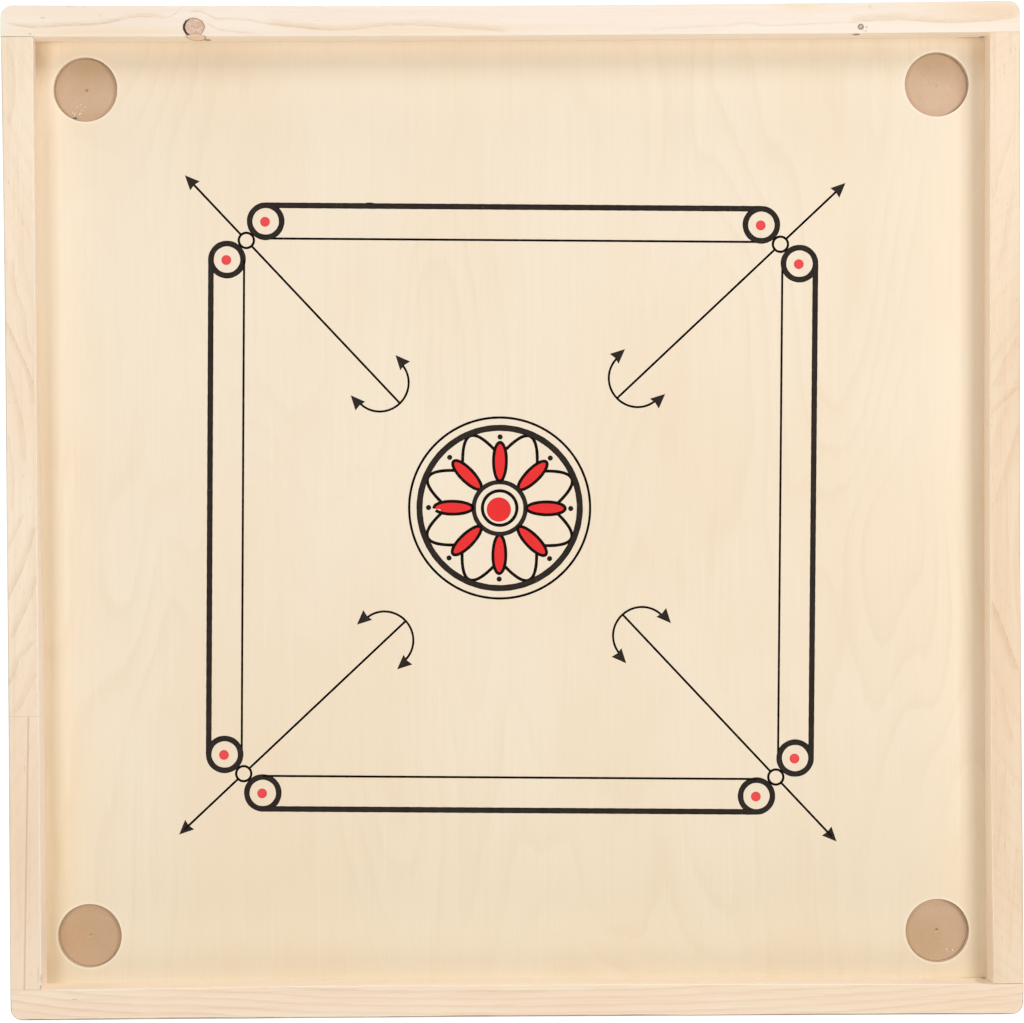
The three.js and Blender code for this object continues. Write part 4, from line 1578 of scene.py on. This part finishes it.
@dataclass
class PocketedPanel:
    """A square panel with four round pockets, each in a collar that runs from a square to the round rim."""

    half: float
    top: float
    bottom: float
    shifts: tuple[Pair, ...] = ((-0.5, -0.5), (0.4, 0.2), (-0.5, 0.5), (-2.3, 0.5))
    sides: tuple[Pair, ...] = ((-1, 1), (1, 1), (1, -1), (-1, -1))
    reach: float = 274.7
    radius: float = 20.5
    collar: float = 27.0
    steps: int = 40
    spread: int = 24
    tear_seed: int = 20
    fibre_seed: int = 30
    fibres: float = 40 / 6
    # how much weaker the dark marks are away from the right side, as painted shade
    painted_shade_bias: float = 0.15

    def breaks(self) -> Array:
        """Grid lines of the panel, the same in X and Y.

        Returns:
            Sorted places, close together about the pockets.
        """
        near = np.linspace(self.reach - self.collar, self.reach + self.collar, self.steps + 1)
        middle = np.linspace(-near[0], near[0], self.spread + 1)[1:-1]
        return np.concatenate([[-self.half], -near[::-1], middle, near, [self.half]])

    def shell(self, skin: Skin, pierced: bool) -> None:
        """Adds the flat faces outside the collars, and the four edges.

        Args:
            skin: skin of the panel.
            pierced: whether the pockets also leave holes in the lower face.
        """
        lines = self.breaks()
        plan = lined(*np.meshgrid(lines, lines))
        near = np.abs(np.abs((lines[1:] + lines[:-1]) / 2) - self.reach) < self.collar
        keep = ~(near[:, None] & near[None, :])
        skin.add(raised(plan, self.top), keep=keep)
        skin.add(raised(plan, self.bottom)[:, ::-1], keep=keep[:, ::-1] if pierced else None)
        edge = square(lines)
        skin.add(raised(np.stack([edge, edge]), np.array([[self.bottom], [self.top]])))

    def collars(self, rows: Array, fray: float = 0.0) -> Iterable[tuple[Array, Array]]:
        """The collars of the four pockets, from a section of rows.

        A row's point lies part of the way from the square to the round of that row's radius.

        Args:
            rows: one (share of the way to the round, radius, height, dark or pale mark) for each row.
            fray: unevenness of the rim in millimetres.

        Yields:
            The grid and the marks of each collar, whose dark marks are weighted towards the right side as
            painted shade.
        """
        ring = square(np.linspace(-self.collar, self.collar, self.steps + 1))
        away = ring / np.linalg.norm(ring, axis=-1, keepdims=True)
        angle = np.arctan2(away[:, 1], away[:, 0])
        share, radius, level, wear_and_painted_light = rows.T[..., None]
        rim = np.abs(radius - self.radius) < 1
        # painted shade: dark marks strongest on the right side of each pocket
        painted_shade_weight = np.where(wear_and_painted_light < 0, 1 + self.painted_shade_bias * (np.cos(angle) - 1), 1.0)
        for number, (side, shift) in enumerate(zip(self.sides, self.shifts)):
            torn = np.clip(waver(angle, self.tear_seed + number, TURN), 0, 1) ** 2
            rough = torn * np.abs(waver(angle * self.fibres, self.fibre_seed + number, TURN))
            reach = radius - fray * rough * rim
            plan = (1 - share)[..., None] * ring
            plan = plan + share[..., None] * (away * reach[..., None] + shift)
            plan = plan + np.array(side) * self.reach
            yield raised(plan, level), wear_and_painted_light * painted_shade_weight


@dataclass
class PlayingSheet(PocketedPanel):
    """The printed plywood sheet, cut through at the four pockets, with splinters on the pockets' floors."""

    half: float = 310.7
    top: float = SHEET_TOP
    bottom: float = 24.0
    rim: float = 0.12
    # a dark line round the rim, painted shade that is strongest on the right
    rim_painted_shade: float = -0.9
    fray: float = 0.25
    margin: float = 2.0
    face_wear: tuple[Pair, ...] = ((0.95, 0.7), (0.5, 0.55), (0.16, -0.2))
    # the walls of the holes: dark just under the rim, then paler lower down as painted light
    wall_dark_and_painted_light: tuple[Pair, ...] = ((26.6, -0.55), (26.2, -0.1), (25.0, 0.45), (24.0, 0.1))
    floor: float = 24.0
    flake_wear: float = 0.8
    flake_steps: int = 9
    flake_bend: float = 0.15
    flake_lift: float = 0.7
    flake_thickness: float = 0.14
    flakes: tuple[tuple[float, ...], ...] = (
        (-281.6, 262.2, 60, 2.6, 0.6), (-278.6, 260.2, 40, 2.2, 0.55), (-280.4, 258.4, 20, 2.4, 0.7),
        (-282.9, 257.2, 75, 2.8, 0.9), (-276.6, 262.8, 50, 1.8, 0.5), (-283.8, 259.0, 100, 1.6, 0.5),
        (-279.2, 264.6, 30, 1.5, 0.45), (285.6, -288.6, 120, 2.4, 0.9), (280.2, -287.6, 30, 1.8, 0.7),
        (289.3, -277.6, 80, 1.5, 0.6), (292.0, -275.2, 95, 1.6, 0.5), (281.6, -288.9, 150, 1.4, 0.5),
        (273.5, -275.6, 10, 1.5, 0.6), (-277.9, -275.6, 15, 1.6, 0.6),
    )
    # a torn splinter painted dark as shade
    torn: tuple[float, ...] = (-284.3, 255.9, 0, 3.2, 1.3)
    torn_painted_shade: float = -0.9

    def splinter(self, x: float, y: float, turn: float, length: float, width: float) -> Array:
        """A loose splinter: an oval section carried along a rising line, drawn out to both tips.

        Args:
            x: place of its lower tip in X.
            y: place of its lower tip in Y.
            turn: direction in degrees.
            length: length.
            width: width in the middle.

        Returns:
            The closed grid.
        """
        steps = np.linspace(0, 1, self.flake_steps)
        run, swing = np.meshgrid(steps, TURN * steps, indexing="ij")
        arch = np.sin(math.pi * run)
        swell = np.sqrt(np.clip(arch, 0, 1))
        side = width / 2 * swell * np.cos(swing) + self.flake_bend * length * arch
        rise = self.floor + self.flake_lift * run**2 + self.flake_thickness * swell * np.sin(swing)
        return spun(raised(lined(length * run, side), rise), math.radians(turn), (x, y))

    def build(self) -> None:
        """Makes and dresses the sheet: faces, edges, collars that run through the holes, and splinters."""
        skin = Skin("playing_sheet_ply")
        self.shell(skin, pierced=True)
        swing = np.linspace(0, QUARTER, 4)
        edge_radius = self.radius + self.rim * (1 - np.sin(swing))
        edge_level = self.top - self.rim * (1 - np.cos(swing))
        rows = [(t, self.radius + self.margin, self.top, 0.0) for t in (0, 0.5, 1)]
        rows += [(1, self.radius + r, self.top, wear_and_painted_light) for r, wear_and_painted_light in self.face_wear]
        rows += [(1, r, z, self.rim_painted_shade) for r, z in zip(edge_radius, edge_level)]
        rows += [(1, self.radius, z, wear_and_painted_light) for z, wear_and_painted_light in self.wall_dark_and_painted_light]
        rows += [(t, self.radius, self.bottom, 0.0) for t in (0.6, 0)]
        for grid, wear_and_painted_light in self.collars(np.array(rows), self.fray):
            skin.add(grid, wear_and_painted_light)
        for flake in self.flakes:
            skin.add(self.splinter(*flake), self.flake_wear)
        skin.add(self.splinter(*self.torn), self.torn_painted_shade)
        skin.piece(VeneerFinish().material(), "plywood", "playing_sheet")


@dataclass
class BaseBoard(PocketedPanel):
    """The fibreboard under the sheet, cut a little way into at the pockets."""

    half: float = 310.7
    top: float = 24.0
    bottom: float = 15.0
    bite: float = 0.2
    wall_dark_and_painted_light: float = -0.9
    floor_inset: float = 0.35
    floor_rows: int = 60
    ridge: float = 0.03
    ring_rates: Pair = (5.2, 0.9)
    # a thin ring of painted shade on the floor at the foot of the cut side
    rim_painted_shade: float = -0.45
    rim_reach: float = 0.75
    rim_fade: float = 0.4
    spur_radius: float = 1.2
    spur_depth: float = 1.0
    spur_shares: tuple[float, ...] = (1.0, 0.4, 1.0, 0.45)
    spur_rows: tuple[Triple, ...] = ((0.75, 0.5, -0.1), (0.3, 0.95, -0.3), (0.0, 1.0, -0.4))

    def rows(self) -> Array:
        """Rows of a pocket: a low dark cut side, a thin ring of painted shade at its foot, cutter rings as
        ripples on its floor, then the darker spur's cone.

        Returns:
            One (share of the way to the round, radius, height, dark or pale mark) for each row.
        """
        level = self.top - self.bite
        radius = np.linspace(self.radius - self.floor_inset, self.spur_radius, self.floor_rows)
        fine, slow = self.ring_rates
        ripple = self.ridge * np.sin(radius * fine) * np.sin(radius * slow + 1)
        # painted shade: a thin dark ring at the floor's edge
        dark = self.rim_painted_shade * np.clip((radius - self.radius + self.rim_reach) / self.rim_fade, 0, 1)
        rows = [(t, self.radius, self.top, 0.0) for t in (0, 0.5, 1)]
        rows += [(1, self.radius, self.top - self.bite * t, self.wall_dark_and_painted_light) for t in (0.5, 0.9)]
        rows += [(1, r, z, wear_and_painted_light) for r, z, wear_and_painted_light in zip(radius, level + ripple, dark)]
        cone = np.array(self.spur_rows) * (self.spur_radius, -self.spur_depth, 1) + (0, level, 0)
        return np.array(rows + [(1, *row) for row in cone])

    def build(self) -> None:
        """Makes and dresses the base board: plain underside, edges, and blind pockets in the top."""
        skin = Skin("base_board_fibre")
        self.shell(skin, pierced=False)
        level, spur = self.top - self.bite, slice(-len(self.spur_rows), None)
        for share, (grid, wear_and_painted_light) in zip(self.spur_shares, self.collars(self.rows())):
            grid[spur, :, 2] = level + share * (grid[spur, :, 2] - level)
            wear_and_painted_light[spur] *= share
            skin.add(grid, wear_and_painted_light)
        skin.piece(FibreboardFinish().material(), "fibreboard", "base_board")


@dataclass
class Underside:
    """The battens, screws and dowels, whose solids stay and get their finish here."""

    nodes: dict[str, bpy.types.Object]
    screws: int = 8
    dowels: int = 8
    batten_bottom: float = 14.0

    def dress(self) -> None:
        """Gives each solid its finish in place of its plain colour."""
        across = PineFinish(
            "batten_across_pine", Grain.ALONG_X, (0, 0),
            early=(244, 222, 188), late=(206, 164, 112), tint=(238, 210, 172), lean=(0.0008, 0.12, 0.1),
            sway=0.9, depth=0.8, seed=17.4, top=self.batten_bottom,
        )
        lengthwise = PineFinish(
            "batten_lengthwise_pine", Grain.ALONG_Y, (0, 0),
            early=(243, 219, 184), late=(204, 160, 108), tint=(236, 207, 168), lean=(0.0011, 0.1, 0.12),
            sway=0.8, depth=0.8, seed=21.9, top=self.batten_bottom,
        )
        finishes = {"batten_across": across.material(), "batten_lengthwise": lengthwise.material()}
        finishes |= dict.fromkeys(numbered("batten_screw", self.screws), ZincFinish().material())
        finishes |= dict.fromkeys(numbered("dowel", self.dowels), BeechFinish().material())
        for name, material in finishes.items():
            for holder in self.nodes[name].material_slots:
                holder.material = material
            LOG.info("%s: keeps its solid, finish %s", name, material.name)


@dataclass
class Film:
    """One printed film, drawn on the sheet from strokes and filled shapes in the print's own frame."""

    name: str
    height: float
    level: float = SHEET_TOP
    offset: Pair = (-1.3, 1.5)
    turn: float = math.radians(-0.7)
    edge: float = 0.14
    rim: float = 0.6
    bed: float = -0.02
    lift: float = 0.002
    lifts: int = 5
    wave: float = 9.0
    unevenness: float = 0.035
    thin_line: Pair = (2.0, 3.0)
    thin_plate: Pair = (1.0, 2.2)
    least_inset: float = 0.5
    least_core: float = 0.3
    plate_ring: float = 0.6

    def __post_init__(self) -> None:
        """Starts the film's skin."""
        self.skin = Skin(self.name)
        self.count = 0

    def levels(self) -> Pair:
        """Bed and top of the next shape, whose top lies a hair off the ones before it."""
        self.count += 1
        return self.level + self.bed, self.level + self.height + self.lift * (self.count % self.lifts)

    def stroke(self, path: Array, width: float, closed: bool = False) -> None:
        """A line of ink: a section with slightly sloping edges carried along a path.

        Args:
            path: points of shape (n, 2) in the print's frame.
            width: width of the line.
            closed: whether the path returns to its start.
        """
        low, top = self.levels()
        line = np.concatenate([path[-2:-1], path, path[1:2]]) if closed else path
        ahead = np.gradient(line, axis=0)
        ahead = ahead[1:-1] if closed else ahead
        ahead = ahead / np.linalg.norm(ahead, axis=-1, keepdims=True)
        left = lined(-ahead[:, 1], ahead[:, 0])
        run = np.concatenate([[0], np.cumsum(np.linalg.norm(np.diff(path, axis=0), axis=-1))])
        wavelength = run[-1] / max(1, round(run[-1] / self.wave))
        half = width / 2 * (1 + self.unevenness * waver(run, self.count, wavelength))
        inset = np.maximum(half - self.edge, self.least_inset * half)
        core = np.maximum(half - self.rim, self.least_core * half)
        across = np.stack([half, inset, core, -core, -inset, -half, half], axis=-1)
        rise = np.array([low, top, top, top, top, low, low])
        grid = raised(path[:, None] + left[:, None] * across[..., None], rise)
        if not closed:
            ends = raised(path[[0, -1]], self.level)
            caps = np.broadcast_to(ends[:, None], (2, *grid.shape[1:]))
            grid = np.concatenate([caps[:1], grid, caps[1:]])
        thin = np.interp(width, self.thin_line, (0, 1)) * np.array([0, 0, 1, 1, 0, 0, 0])
        self.skin.add(spun(grid, self.turn, self.offset), thin)

    def plate(self, outline: Array, middle: Pair) -> None:
        """A filled shape: its outline drawn in towards a middle point, on the top and on the bottom.

        Args:
            outline: closed outline of shape (n, 2), counter-clockwise, seen whole from the middle.
            middle: the point that it shrinks to.
        """
        low, top = self.levels()
        away = outline[::-1] - middle
        size = np.linalg.norm(away, axis=-1).mean()
        core = max(1 - self.rim / size, self.least_core)
        share = np.array([0.0, self.plate_ring * core, core, 1 - self.edge / size, 1.0, 0.0])
        rise = np.array([top, top, top, top, low, low])
        grid = raised(middle + share[:, None, None] * away, rise[:, None])
        thin = np.interp(size, self.thin_plate, (0, 1)) * np.array([1, 1, 1, 0, 0, 0])
        self.skin.add(spun(grid, self.turn, self.offset), thin[:, None])

    def piece(self, material: Material, ink: Ink, *nodes: str) -> None:
        """Makes the film's object, in place of its solids."""
        self.skin.piece(material, ink.value, *nodes)


def arc(radii: Pair, start: float, end: float, step: float = 0.6) -> Array:
    """Points of an oval's arc about the origin, at most a step apart.

    Args:
        radii: radius in X and in Y.
        start: first angle.
        end: last angle.
        step: length of a step.

    Returns:
        Points of shape (n, 2).
    """
    steps = max(24, int(abs(end - start) * radii[0] / step))
    angle = np.linspace(start, end, steps + 1)
    return lined(np.cos(angle), np.sin(angle)) * radii


def circle(radius: float, centre: Pair = (0.0, 0.0)) -> Array:
    """Points of a closed circle."""
    return arc((radius, radius), 0.0, TURN) + centre


def straight(start: Pair, end: Pair, step: float = 2.0) -> Array:
    """Points of a straight line at even steps."""
    return np.linspace(start, end, max(2, int(math.dist(start, end) / step) + 1))


def polygon(corners: Sequence[Pair], step: float = 0.5) -> Array:
    """Points along the sides of a closed polygon at even steps."""
    sides = [straight(a, b, step)[:-1] for a, b in zip(corners, [*corners[1:], corners[0]])]
    return np.concatenate([*sides, sides[0][:1]])


def moved(place: Pair, turn: float, centre: Pair = (0.0, 0.0)) -> Array:
    """One plan point, turned about the origin and then shifted."""
    return spun(np.array(place, float), turn, centre)


@dataclass
class BaseLinePrint:
    """Base lines with rings at their ends, corner rings, and double-ended arrows."""

    ring_reach: float = 160.4
    ring_diameter: float = 24.4
    bold: float = 3.68
    fine: float = 1.45
    fine_inset: float = 0.4
    dots: int = 8
    dot_diameter: float = 6.4
    corner_diameter: float = 11.4
    corner_line: float = 1.6
    corner_bite: float = 0.3
    arrow_turn: float = math.radians(-1.3)
    arrow_reach: float = 57.8
    hook_reach: float = 127.0
    hook_radii: Pair = (18.0, 18.5)
    hook_half_angle: float = math.radians(86)
    hook_turn: float = math.radians(-1.4)
    hook_shift: Pair = (-0.45, 0.0)
    barb_offset: float = 19.5
    barb_rise: float = 7.2
    head_length: float = 9.5
    head_width: float = 8.6
    head_notch: float = 0.8
    head_middle: float = 0.4
    red_shift: Pair = (-0.43, -0.33)
    blot_place: Pair = (-93.2, 197.0)
    blot_radii: Pair = (3.2, 0.9)

    @property
    def ring_offset(self) -> float:
        """Ring centres from the middle, across the base line."""
        step = (self.ring_diameter + self.corner_diameter) / 2 - self.corner_bite
        return self.ring_reach + math.sqrt(2) * step

    def head(self, film: Film, tip: Pair, turn: float, centre: Pair) -> None:
        """An arrowhead with a notched base.

        Args:
            film: film to draw on.
            tip: its tip, in the arrow's frame.
            turn: turn of the arrow's frame.
            centre: place of the arrow's frame.
        """
        back, half = tip[0] - self.head_length, self.head_width / 2
        corners = [tip, (back, tip[1] + half), (back + self.head_notch, tip[1]), (back, tip[1] - half)]
        middle = moved((back + self.head_middle * self.head_length, tip[1]), turn, centre)
        film.plate(spun(polygon(corners), turn, centre), middle)

    def arrow(self, film: Film, turn: float, centre: Pair) -> None:
        """One arrow: a line on both sides of the corner ring, a head, and a hook with two barbs.

        Args:
            film: film to draw on.
            turn: its direction.
            centre: centre of its corner ring.
        """
        gap = (self.corner_diameter - self.corner_line) / 2
        tail = -self.hook_reach - self.hook_radii[0]
        for start, end in ((gap, self.arrow_reach - self.head_length / 2), (tail, -gap)):
            film.stroke(spun(straight((start, 0), (end, 0)), turn, centre), self.fine)
        self.head(film, (self.arrow_reach, 0), turn, centre)
        inner = moved((-self.hook_reach, 0.0), turn, centre) + self.hook_shift
        hook = arc(self.hook_radii, math.pi - self.hook_half_angle, math.pi + self.hook_half_angle)
        film.stroke(spun(hook, turn + self.hook_turn, inner), self.fine)
        for side in (1, -1):
            self.head(film, (self.barb_rise, side * self.barb_offset), turn + self.hook_turn, inner)

    def quarter(self, film: Film, dots: Film, turn: float) -> None:
        """One base line with its rings and dots, and the corner after it.

        Args:
            film: film of black ink.
            dots: film of red ink.
            turn: turn of the quarter about the print's centre.
        """
        tangent, offset, reach = self.ring_diameter / 2, self.ring_offset, self.ring_reach
        bold = offset + tangent - self.bold / 2
        fine = offset - tangent + self.fine_inset + self.fine / 2
        for place, width in ((bold, self.bold), (fine, self.fine)):
            film.stroke(spun(straight((-reach, place), (reach, place)), turn), width)
        for end in (-reach, reach):
            film.stroke(spun(circle(tangent - self.bold / 2, (end, offset)), turn), self.bold, True)
            spot = moved((end, offset), turn, self.red_shift)
            dots.plate(circle(self.dot_diameter / 2, spot), spot)
        corner = (offset + reach) / 2
        centre = moved((corner, corner), turn)
        film.stroke(circle((self.corner_diameter - self.corner_line) / 2, centre), self.corner_line, True)
        self.arrow(film, QUARTER / 2 + self.arrow_turn + turn, centre)

    def build(self, black: Material, red: Material) -> None:
        """Prints the base lines.

        Args:
            black: finish of the black ink.
            red: finish of the red ink.
        """
        film = Film("base_line_film", height=0.11)
        dots = Film("base_dot_film", height=0.08)
        for number in range(4):
            self.quarter(film, dots, number * QUARTER)
        film.plate(circle(1.0) * self.blot_radii + self.blot_place, self.blot_place)
        film.piece(black, Ink.BLACK, "base_line_print")
        dots.piece(red, Ink.RED, *numbered("base_dot", self.dots))


@dataclass
class RosettePrint:
    """The rosette: rim, wheel, hub and centre rings, eight red petals, eight open leaves and eight dots."""

    centre: Pair = (-7.8, 0.8)
    rim: Pair = (118.9, 1.6)
    rings: tuple[Pair, ...] = ((107.9, 4.0), (36.6, 2.95), (24.5, 2.15))
    disc_diameter: float = 15.8
    disc_shift: Pair = (-0.52, -1.0)
    petals: int = 8
    petal_centre: float = 30.0
    petal_half_length: float = 13.45
    petal_half_width: float = 5.08
    petal_fullness: float = 0.05
    petal_steps: int = 97
    petal_line: float = 2.1
    petal_overhang: float = 0.1
    petal_red_inset: float = 1.2
    petal_shift: Pair = (-0.42, -0.3)
    broken_petal: int = 4
    break_start: float = 0.42
    break_end: float = 0.12
    break_depth: float = 2.4
    break_angle: Pair = (0.5, 0.3)
    leaf_tip: float = 50.45
    leaf_spread: float = 8.75
    leaf_half_width: float = 12.2
    leaf_steps: int = 81
    leaf_line: float = 2.1
    dot_radius: float = 46.1
    dot_diameter: float = 3.4

    def ring(self, film: Film, diameter: float, line: float) -> None:
        """A ring about the rosette's centre, from its outer diameter and the width of its line."""
        film.stroke(circle((diameter - line) / 2, self.centre), line, True)

    def egg(self, inset: Places, start: float = 0.0, end: float = TURN) -> Array:
        """Part of a petal's outline: an ellipse whose width grows towards its outer end.

        Args:
            inset: how far inside the outer edge, for all points or for each.
            start: first angle.
            end: last angle.

        Returns:
            Points of shape (n, 2), with the petal along X.
        """
        angle = np.linspace(start, end, self.petal_steps)
        swell = 1 + self.petal_fullness * np.cos(angle)
        x = self.petal_centre + (self.petal_half_length - inset) * np.cos(angle)
        return lined(x, (self.petal_half_width - inset) * swell * np.sin(angle))

    def leaf(self) -> Array:
        """A parabola along X: its square half width is the spread times the way back from its tip."""
        y = np.linspace(-self.leaf_half_width, self.leaf_half_width, self.leaf_steps)
        return lined(self.leaf_tip - y**2 / self.leaf_spread, y)

    def petal(self, number: int, over: Film, fill: Film) -> None:
        """One petal: its outline in black, open where it is broken, and its red filling.

        Args:
            number: which petal, counted from X.
            over: film of the outlines.
            fill: film of red ink.
        """
        turn = TURN * number / self.petals
        broken = number == self.broken_petal
        span = (self.break_start, TURN + self.break_end) if broken else (0.0, TURN)
        outline = self.egg(self.petal_line / 2 - self.petal_overhang, *span)
        over.stroke(spun(outline, turn, self.centre), self.petal_line, not broken)
        red_centre = np.add(self.centre, self.petal_shift)
        place, reach = self.break_angle
        angle = np.linspace(0, TURN, self.petal_steps)
        lost = self.break_depth * np.exp(-(((angle - place) / reach) ** 4)) if broken else 0.0
        middle = moved((self.petal_centre, 0.0), turn, red_centre)
        fill.plate(spun(self.egg(self.petal_red_inset + lost), turn, red_centre), middle)

    def build(self, black: Material, red: Material) -> None:
        """Prints the rosette in four films, one over the other.

        Args:
            black: finish of the black ink.
            red: finish of the red ink.
        """
        rim = Film("rosette_rim_film", height=0.1)
        under = Film("rosette_leaf_film", height=0.05)
        fill = Film("rosette_red_film", height=0.085)
        over = Film("rosette_outline_film", height=0.12)
        self.ring(rim, *self.rim)
        for ring in self.rings:
            self.ring(over, *ring)
        for number in range(self.petals):
            turn = TURN * number / self.petals
            under.stroke(spun(self.leaf(), turn + math.pi / self.petals, self.centre), self.leaf_line)
            self.petal(number, over, fill)
            spot = moved((self.dot_radius, 0.0), turn, self.centre)
            over.plate(circle(self.dot_diameter / 2, spot), spot)
        heart = np.add(self.centre, self.disc_shift)
        fill.plate(circle(self.disc_diameter / 2, heart), heart)
        rim.piece(black, Ink.BLACK, "rosette_rim")
        under.piece(black, Ink.BLACK)
        fill.piece(red, Ink.RED, "centre_disc", *numbered("rosette_petal", self.petals))
        over.piece(black, Ink.BLACK, "rosette_print", "centre_ring", *numbered("rosette_dot", self.petals))


def linked(name: str, data: bpy.types.ID, turned: Array, place: Array) -> bpy.types.Object:
    """Makes an object of the studio and puts it in its place.

    Args:
        name: name of the object.
        data: lamp or camera.
        turned: its axes as columns.
        place: its place in metres.

    Returns:
        The new object.
    """
    placed = np.eye(4)
    placed[:3, :3], placed[:3, 3] = turned, place
    made = bpy.data.objects.new(name, data)
    made.matrix_world = Matrix(placed.tolist())
    bpy.context.scene.collection.objects.link(made)
    return made


@dataclass(frozen=True)
class Lamp:
    """A soft square lamp aimed at the middle of the board, with its place and size in metres."""

    name: str
    place: Triple
    size: float
    share: float

    def light(self) -> None:
        """Makes the lamp, with the power that gives its share of the light on the board."""
        data = bpy.data.lights.new(self.name, "AREA")
        data.shape = "SQUARE"
        data.size = self.size
        away = np.array(self.place)
        far = float(np.linalg.norm(away))
        data.energy = self.share * math.pi**2 * far**3 / away[2]
        back = away / far
        side = np.cross([0.0, 1.0, 0.0], back)
        side = side / np.linalg.norm(side)
        linked(self.name, data, np.stack([side, np.cross(back, side), back], axis=-1), away)


@dataclass
class Studio:
    """Camera over the board, soft lamps, pale surroundings and a white floor."""

    camera_place: Triple = (-5.7, 22.5, 1448.6)
    camera_turn: Triple = (0.902, -0.188, -0.312)
    sensor: float = 36.0
    lens: float = 77.08
    floor_size: float = 6.0
    floor_lines: int = 9
    floor_level: float = -0.0002
    floor_glow: float = 0.82
    floor_grey: tuple[Rgb, Rgb] = ((168, 168, 168), (174, 174, 174))
    world_light: float = 0.31
    lamps: tuple[Lamp, ...] = (
        Lamp("lamp_right", (1.4, 0.24, 1.8), 0.9, 0.29),
        Lamp("lamp_left", (-1.18, 0.1, 1.8), 0.72, 0.175),
        Lamp("lamp_rear", (0.0, 2.0, 1.5), 0.8, 0.105),
        Lamp("lamp_front", (0.0, -2.1, 1.5), 1.0, 0.06),
        Lamp("lamp_low_rear", (0.0, 3.0, 0.45), 0.8, 0.025),
        Lamp("lamp_low_front", (0.0, -3.0, 0.45), 0.8, 0.03),
        Lamp("lamp_low_left", (-3.0, 0.1, 0.45), 0.8, 0.005),
    )

    def camera(self) -> None:
        """Sets up the camera straight above, with a small turn about each axis."""
        turn = np.radians(self.camera_turn)
        angle = float(np.linalg.norm(turn))
        x, y, z = turn / angle
        cross = np.array([[0, -z, y], [z, 0, -x], [-y, x, 0]])
        turned = np.eye(3) + math.sin(angle) * cross + (1 - math.cos(angle)) * cross @ cross
        view = turned @ np.diag([1.0, -1.0, -1.0])
        axes = np.stack([view[0], -view[1], -view[2]], axis=-1)
        data = bpy.data.cameras.new("camera")
        data.sensor_fit = "HORIZONTAL"
        data.sensor_width = self.sensor
        data.lens = self.lens
        bpy.context.scene.camera = linked("camera", data, axes, np.array(self.camera_place) * MM)

    def surroundings(self) -> None:
        """A world that lights evenly, and that the camera, gloss and glass see as white."""
        world = bpy.data.worlds.new("surroundings")
        desk = Desk(world)
        ground = desk.tree.nodes["Background"]
        ground.inputs["Color"].default_value = (1, 1, 1, 1)
        strength = desk.scaled(desk.seen(), 1 - self.world_light, self.world_light)
        desk.feed(ground.inputs["Strength"], strength)
        bpy.context.scene.world = world

    def floor(self) -> None:
        """A white floor that the camera sees almost white, and that still takes the board's shadow."""
        edge = np.linspace(-self.floor_size / 2, self.floor_size / 2, self.floor_lines)
        points = raised(lined(*np.meshgrid(edge, edge)), self.floor_level).reshape(-1, 3)
        faces = cells(self.floor_lines, self.floor_lines).reshape(-1, 4)
        mesh = bpy.data.meshes.new("floor")
        mesh.from_pydata(points.tolist(), [], faces.tolist())
        desk = Desk(bpy.data.materials.new("white_floor"))
        desk.shader.inputs["Emission Color"].default_value = (1, 1, 1, 1)
        desk.feed(desk.shader.inputs["Emission Strength"], desk.times(desk.seen(), self.floor_glow))
        mottle = Cloud((0.002, 0.002, 0.002)).read(desk)
        dark, pale = self.floor_grey
        colour = desk.tint(mottle, shade(dark), pale)
        mesh.materials.append(desk.finish(colour, roughness=0.9, specular=0.1))
        made = bpy.data.objects.new("floor", mesh)
        bpy.context.scene.collection.objects.link(made)

    def build(self) -> None:
        """Sets up the whole studio."""
        bpy.context.scene.view_settings.view_transform = "Standard"
        self.camera()
        self.surroundings()
        self.floor()
        for lamp in self.lamps:
            lamp.light()


def main() -> None:
    """Builds the studio and each part of the board."""
    logging.basicConfig(level=logging.INFO, format="%(name)s %(message)s")
    Studio().build()
    RailFrame().build()
    PlayingSheet().build()
    BaseBoard().build()
    Underside(frame["nodes"]).dress()
    black = InkFinish("black_ink", (10, 5, 1), (52, 45, 41), 0.55).material()
    red = InkFinish("red_ink", (224, 47, 47), (242, 57, 56), 0.3, (246, 196, 170)).material()
    spots = InkFinish("red_ink_spots", (222, 62, 64), (246, 84, 85), 0.3, (246, 196, 170)).material()
    BaseLinePrint().build(black, spots)
    RosettePrint().build(black, red)


if __name__ == "__main__":
    main()
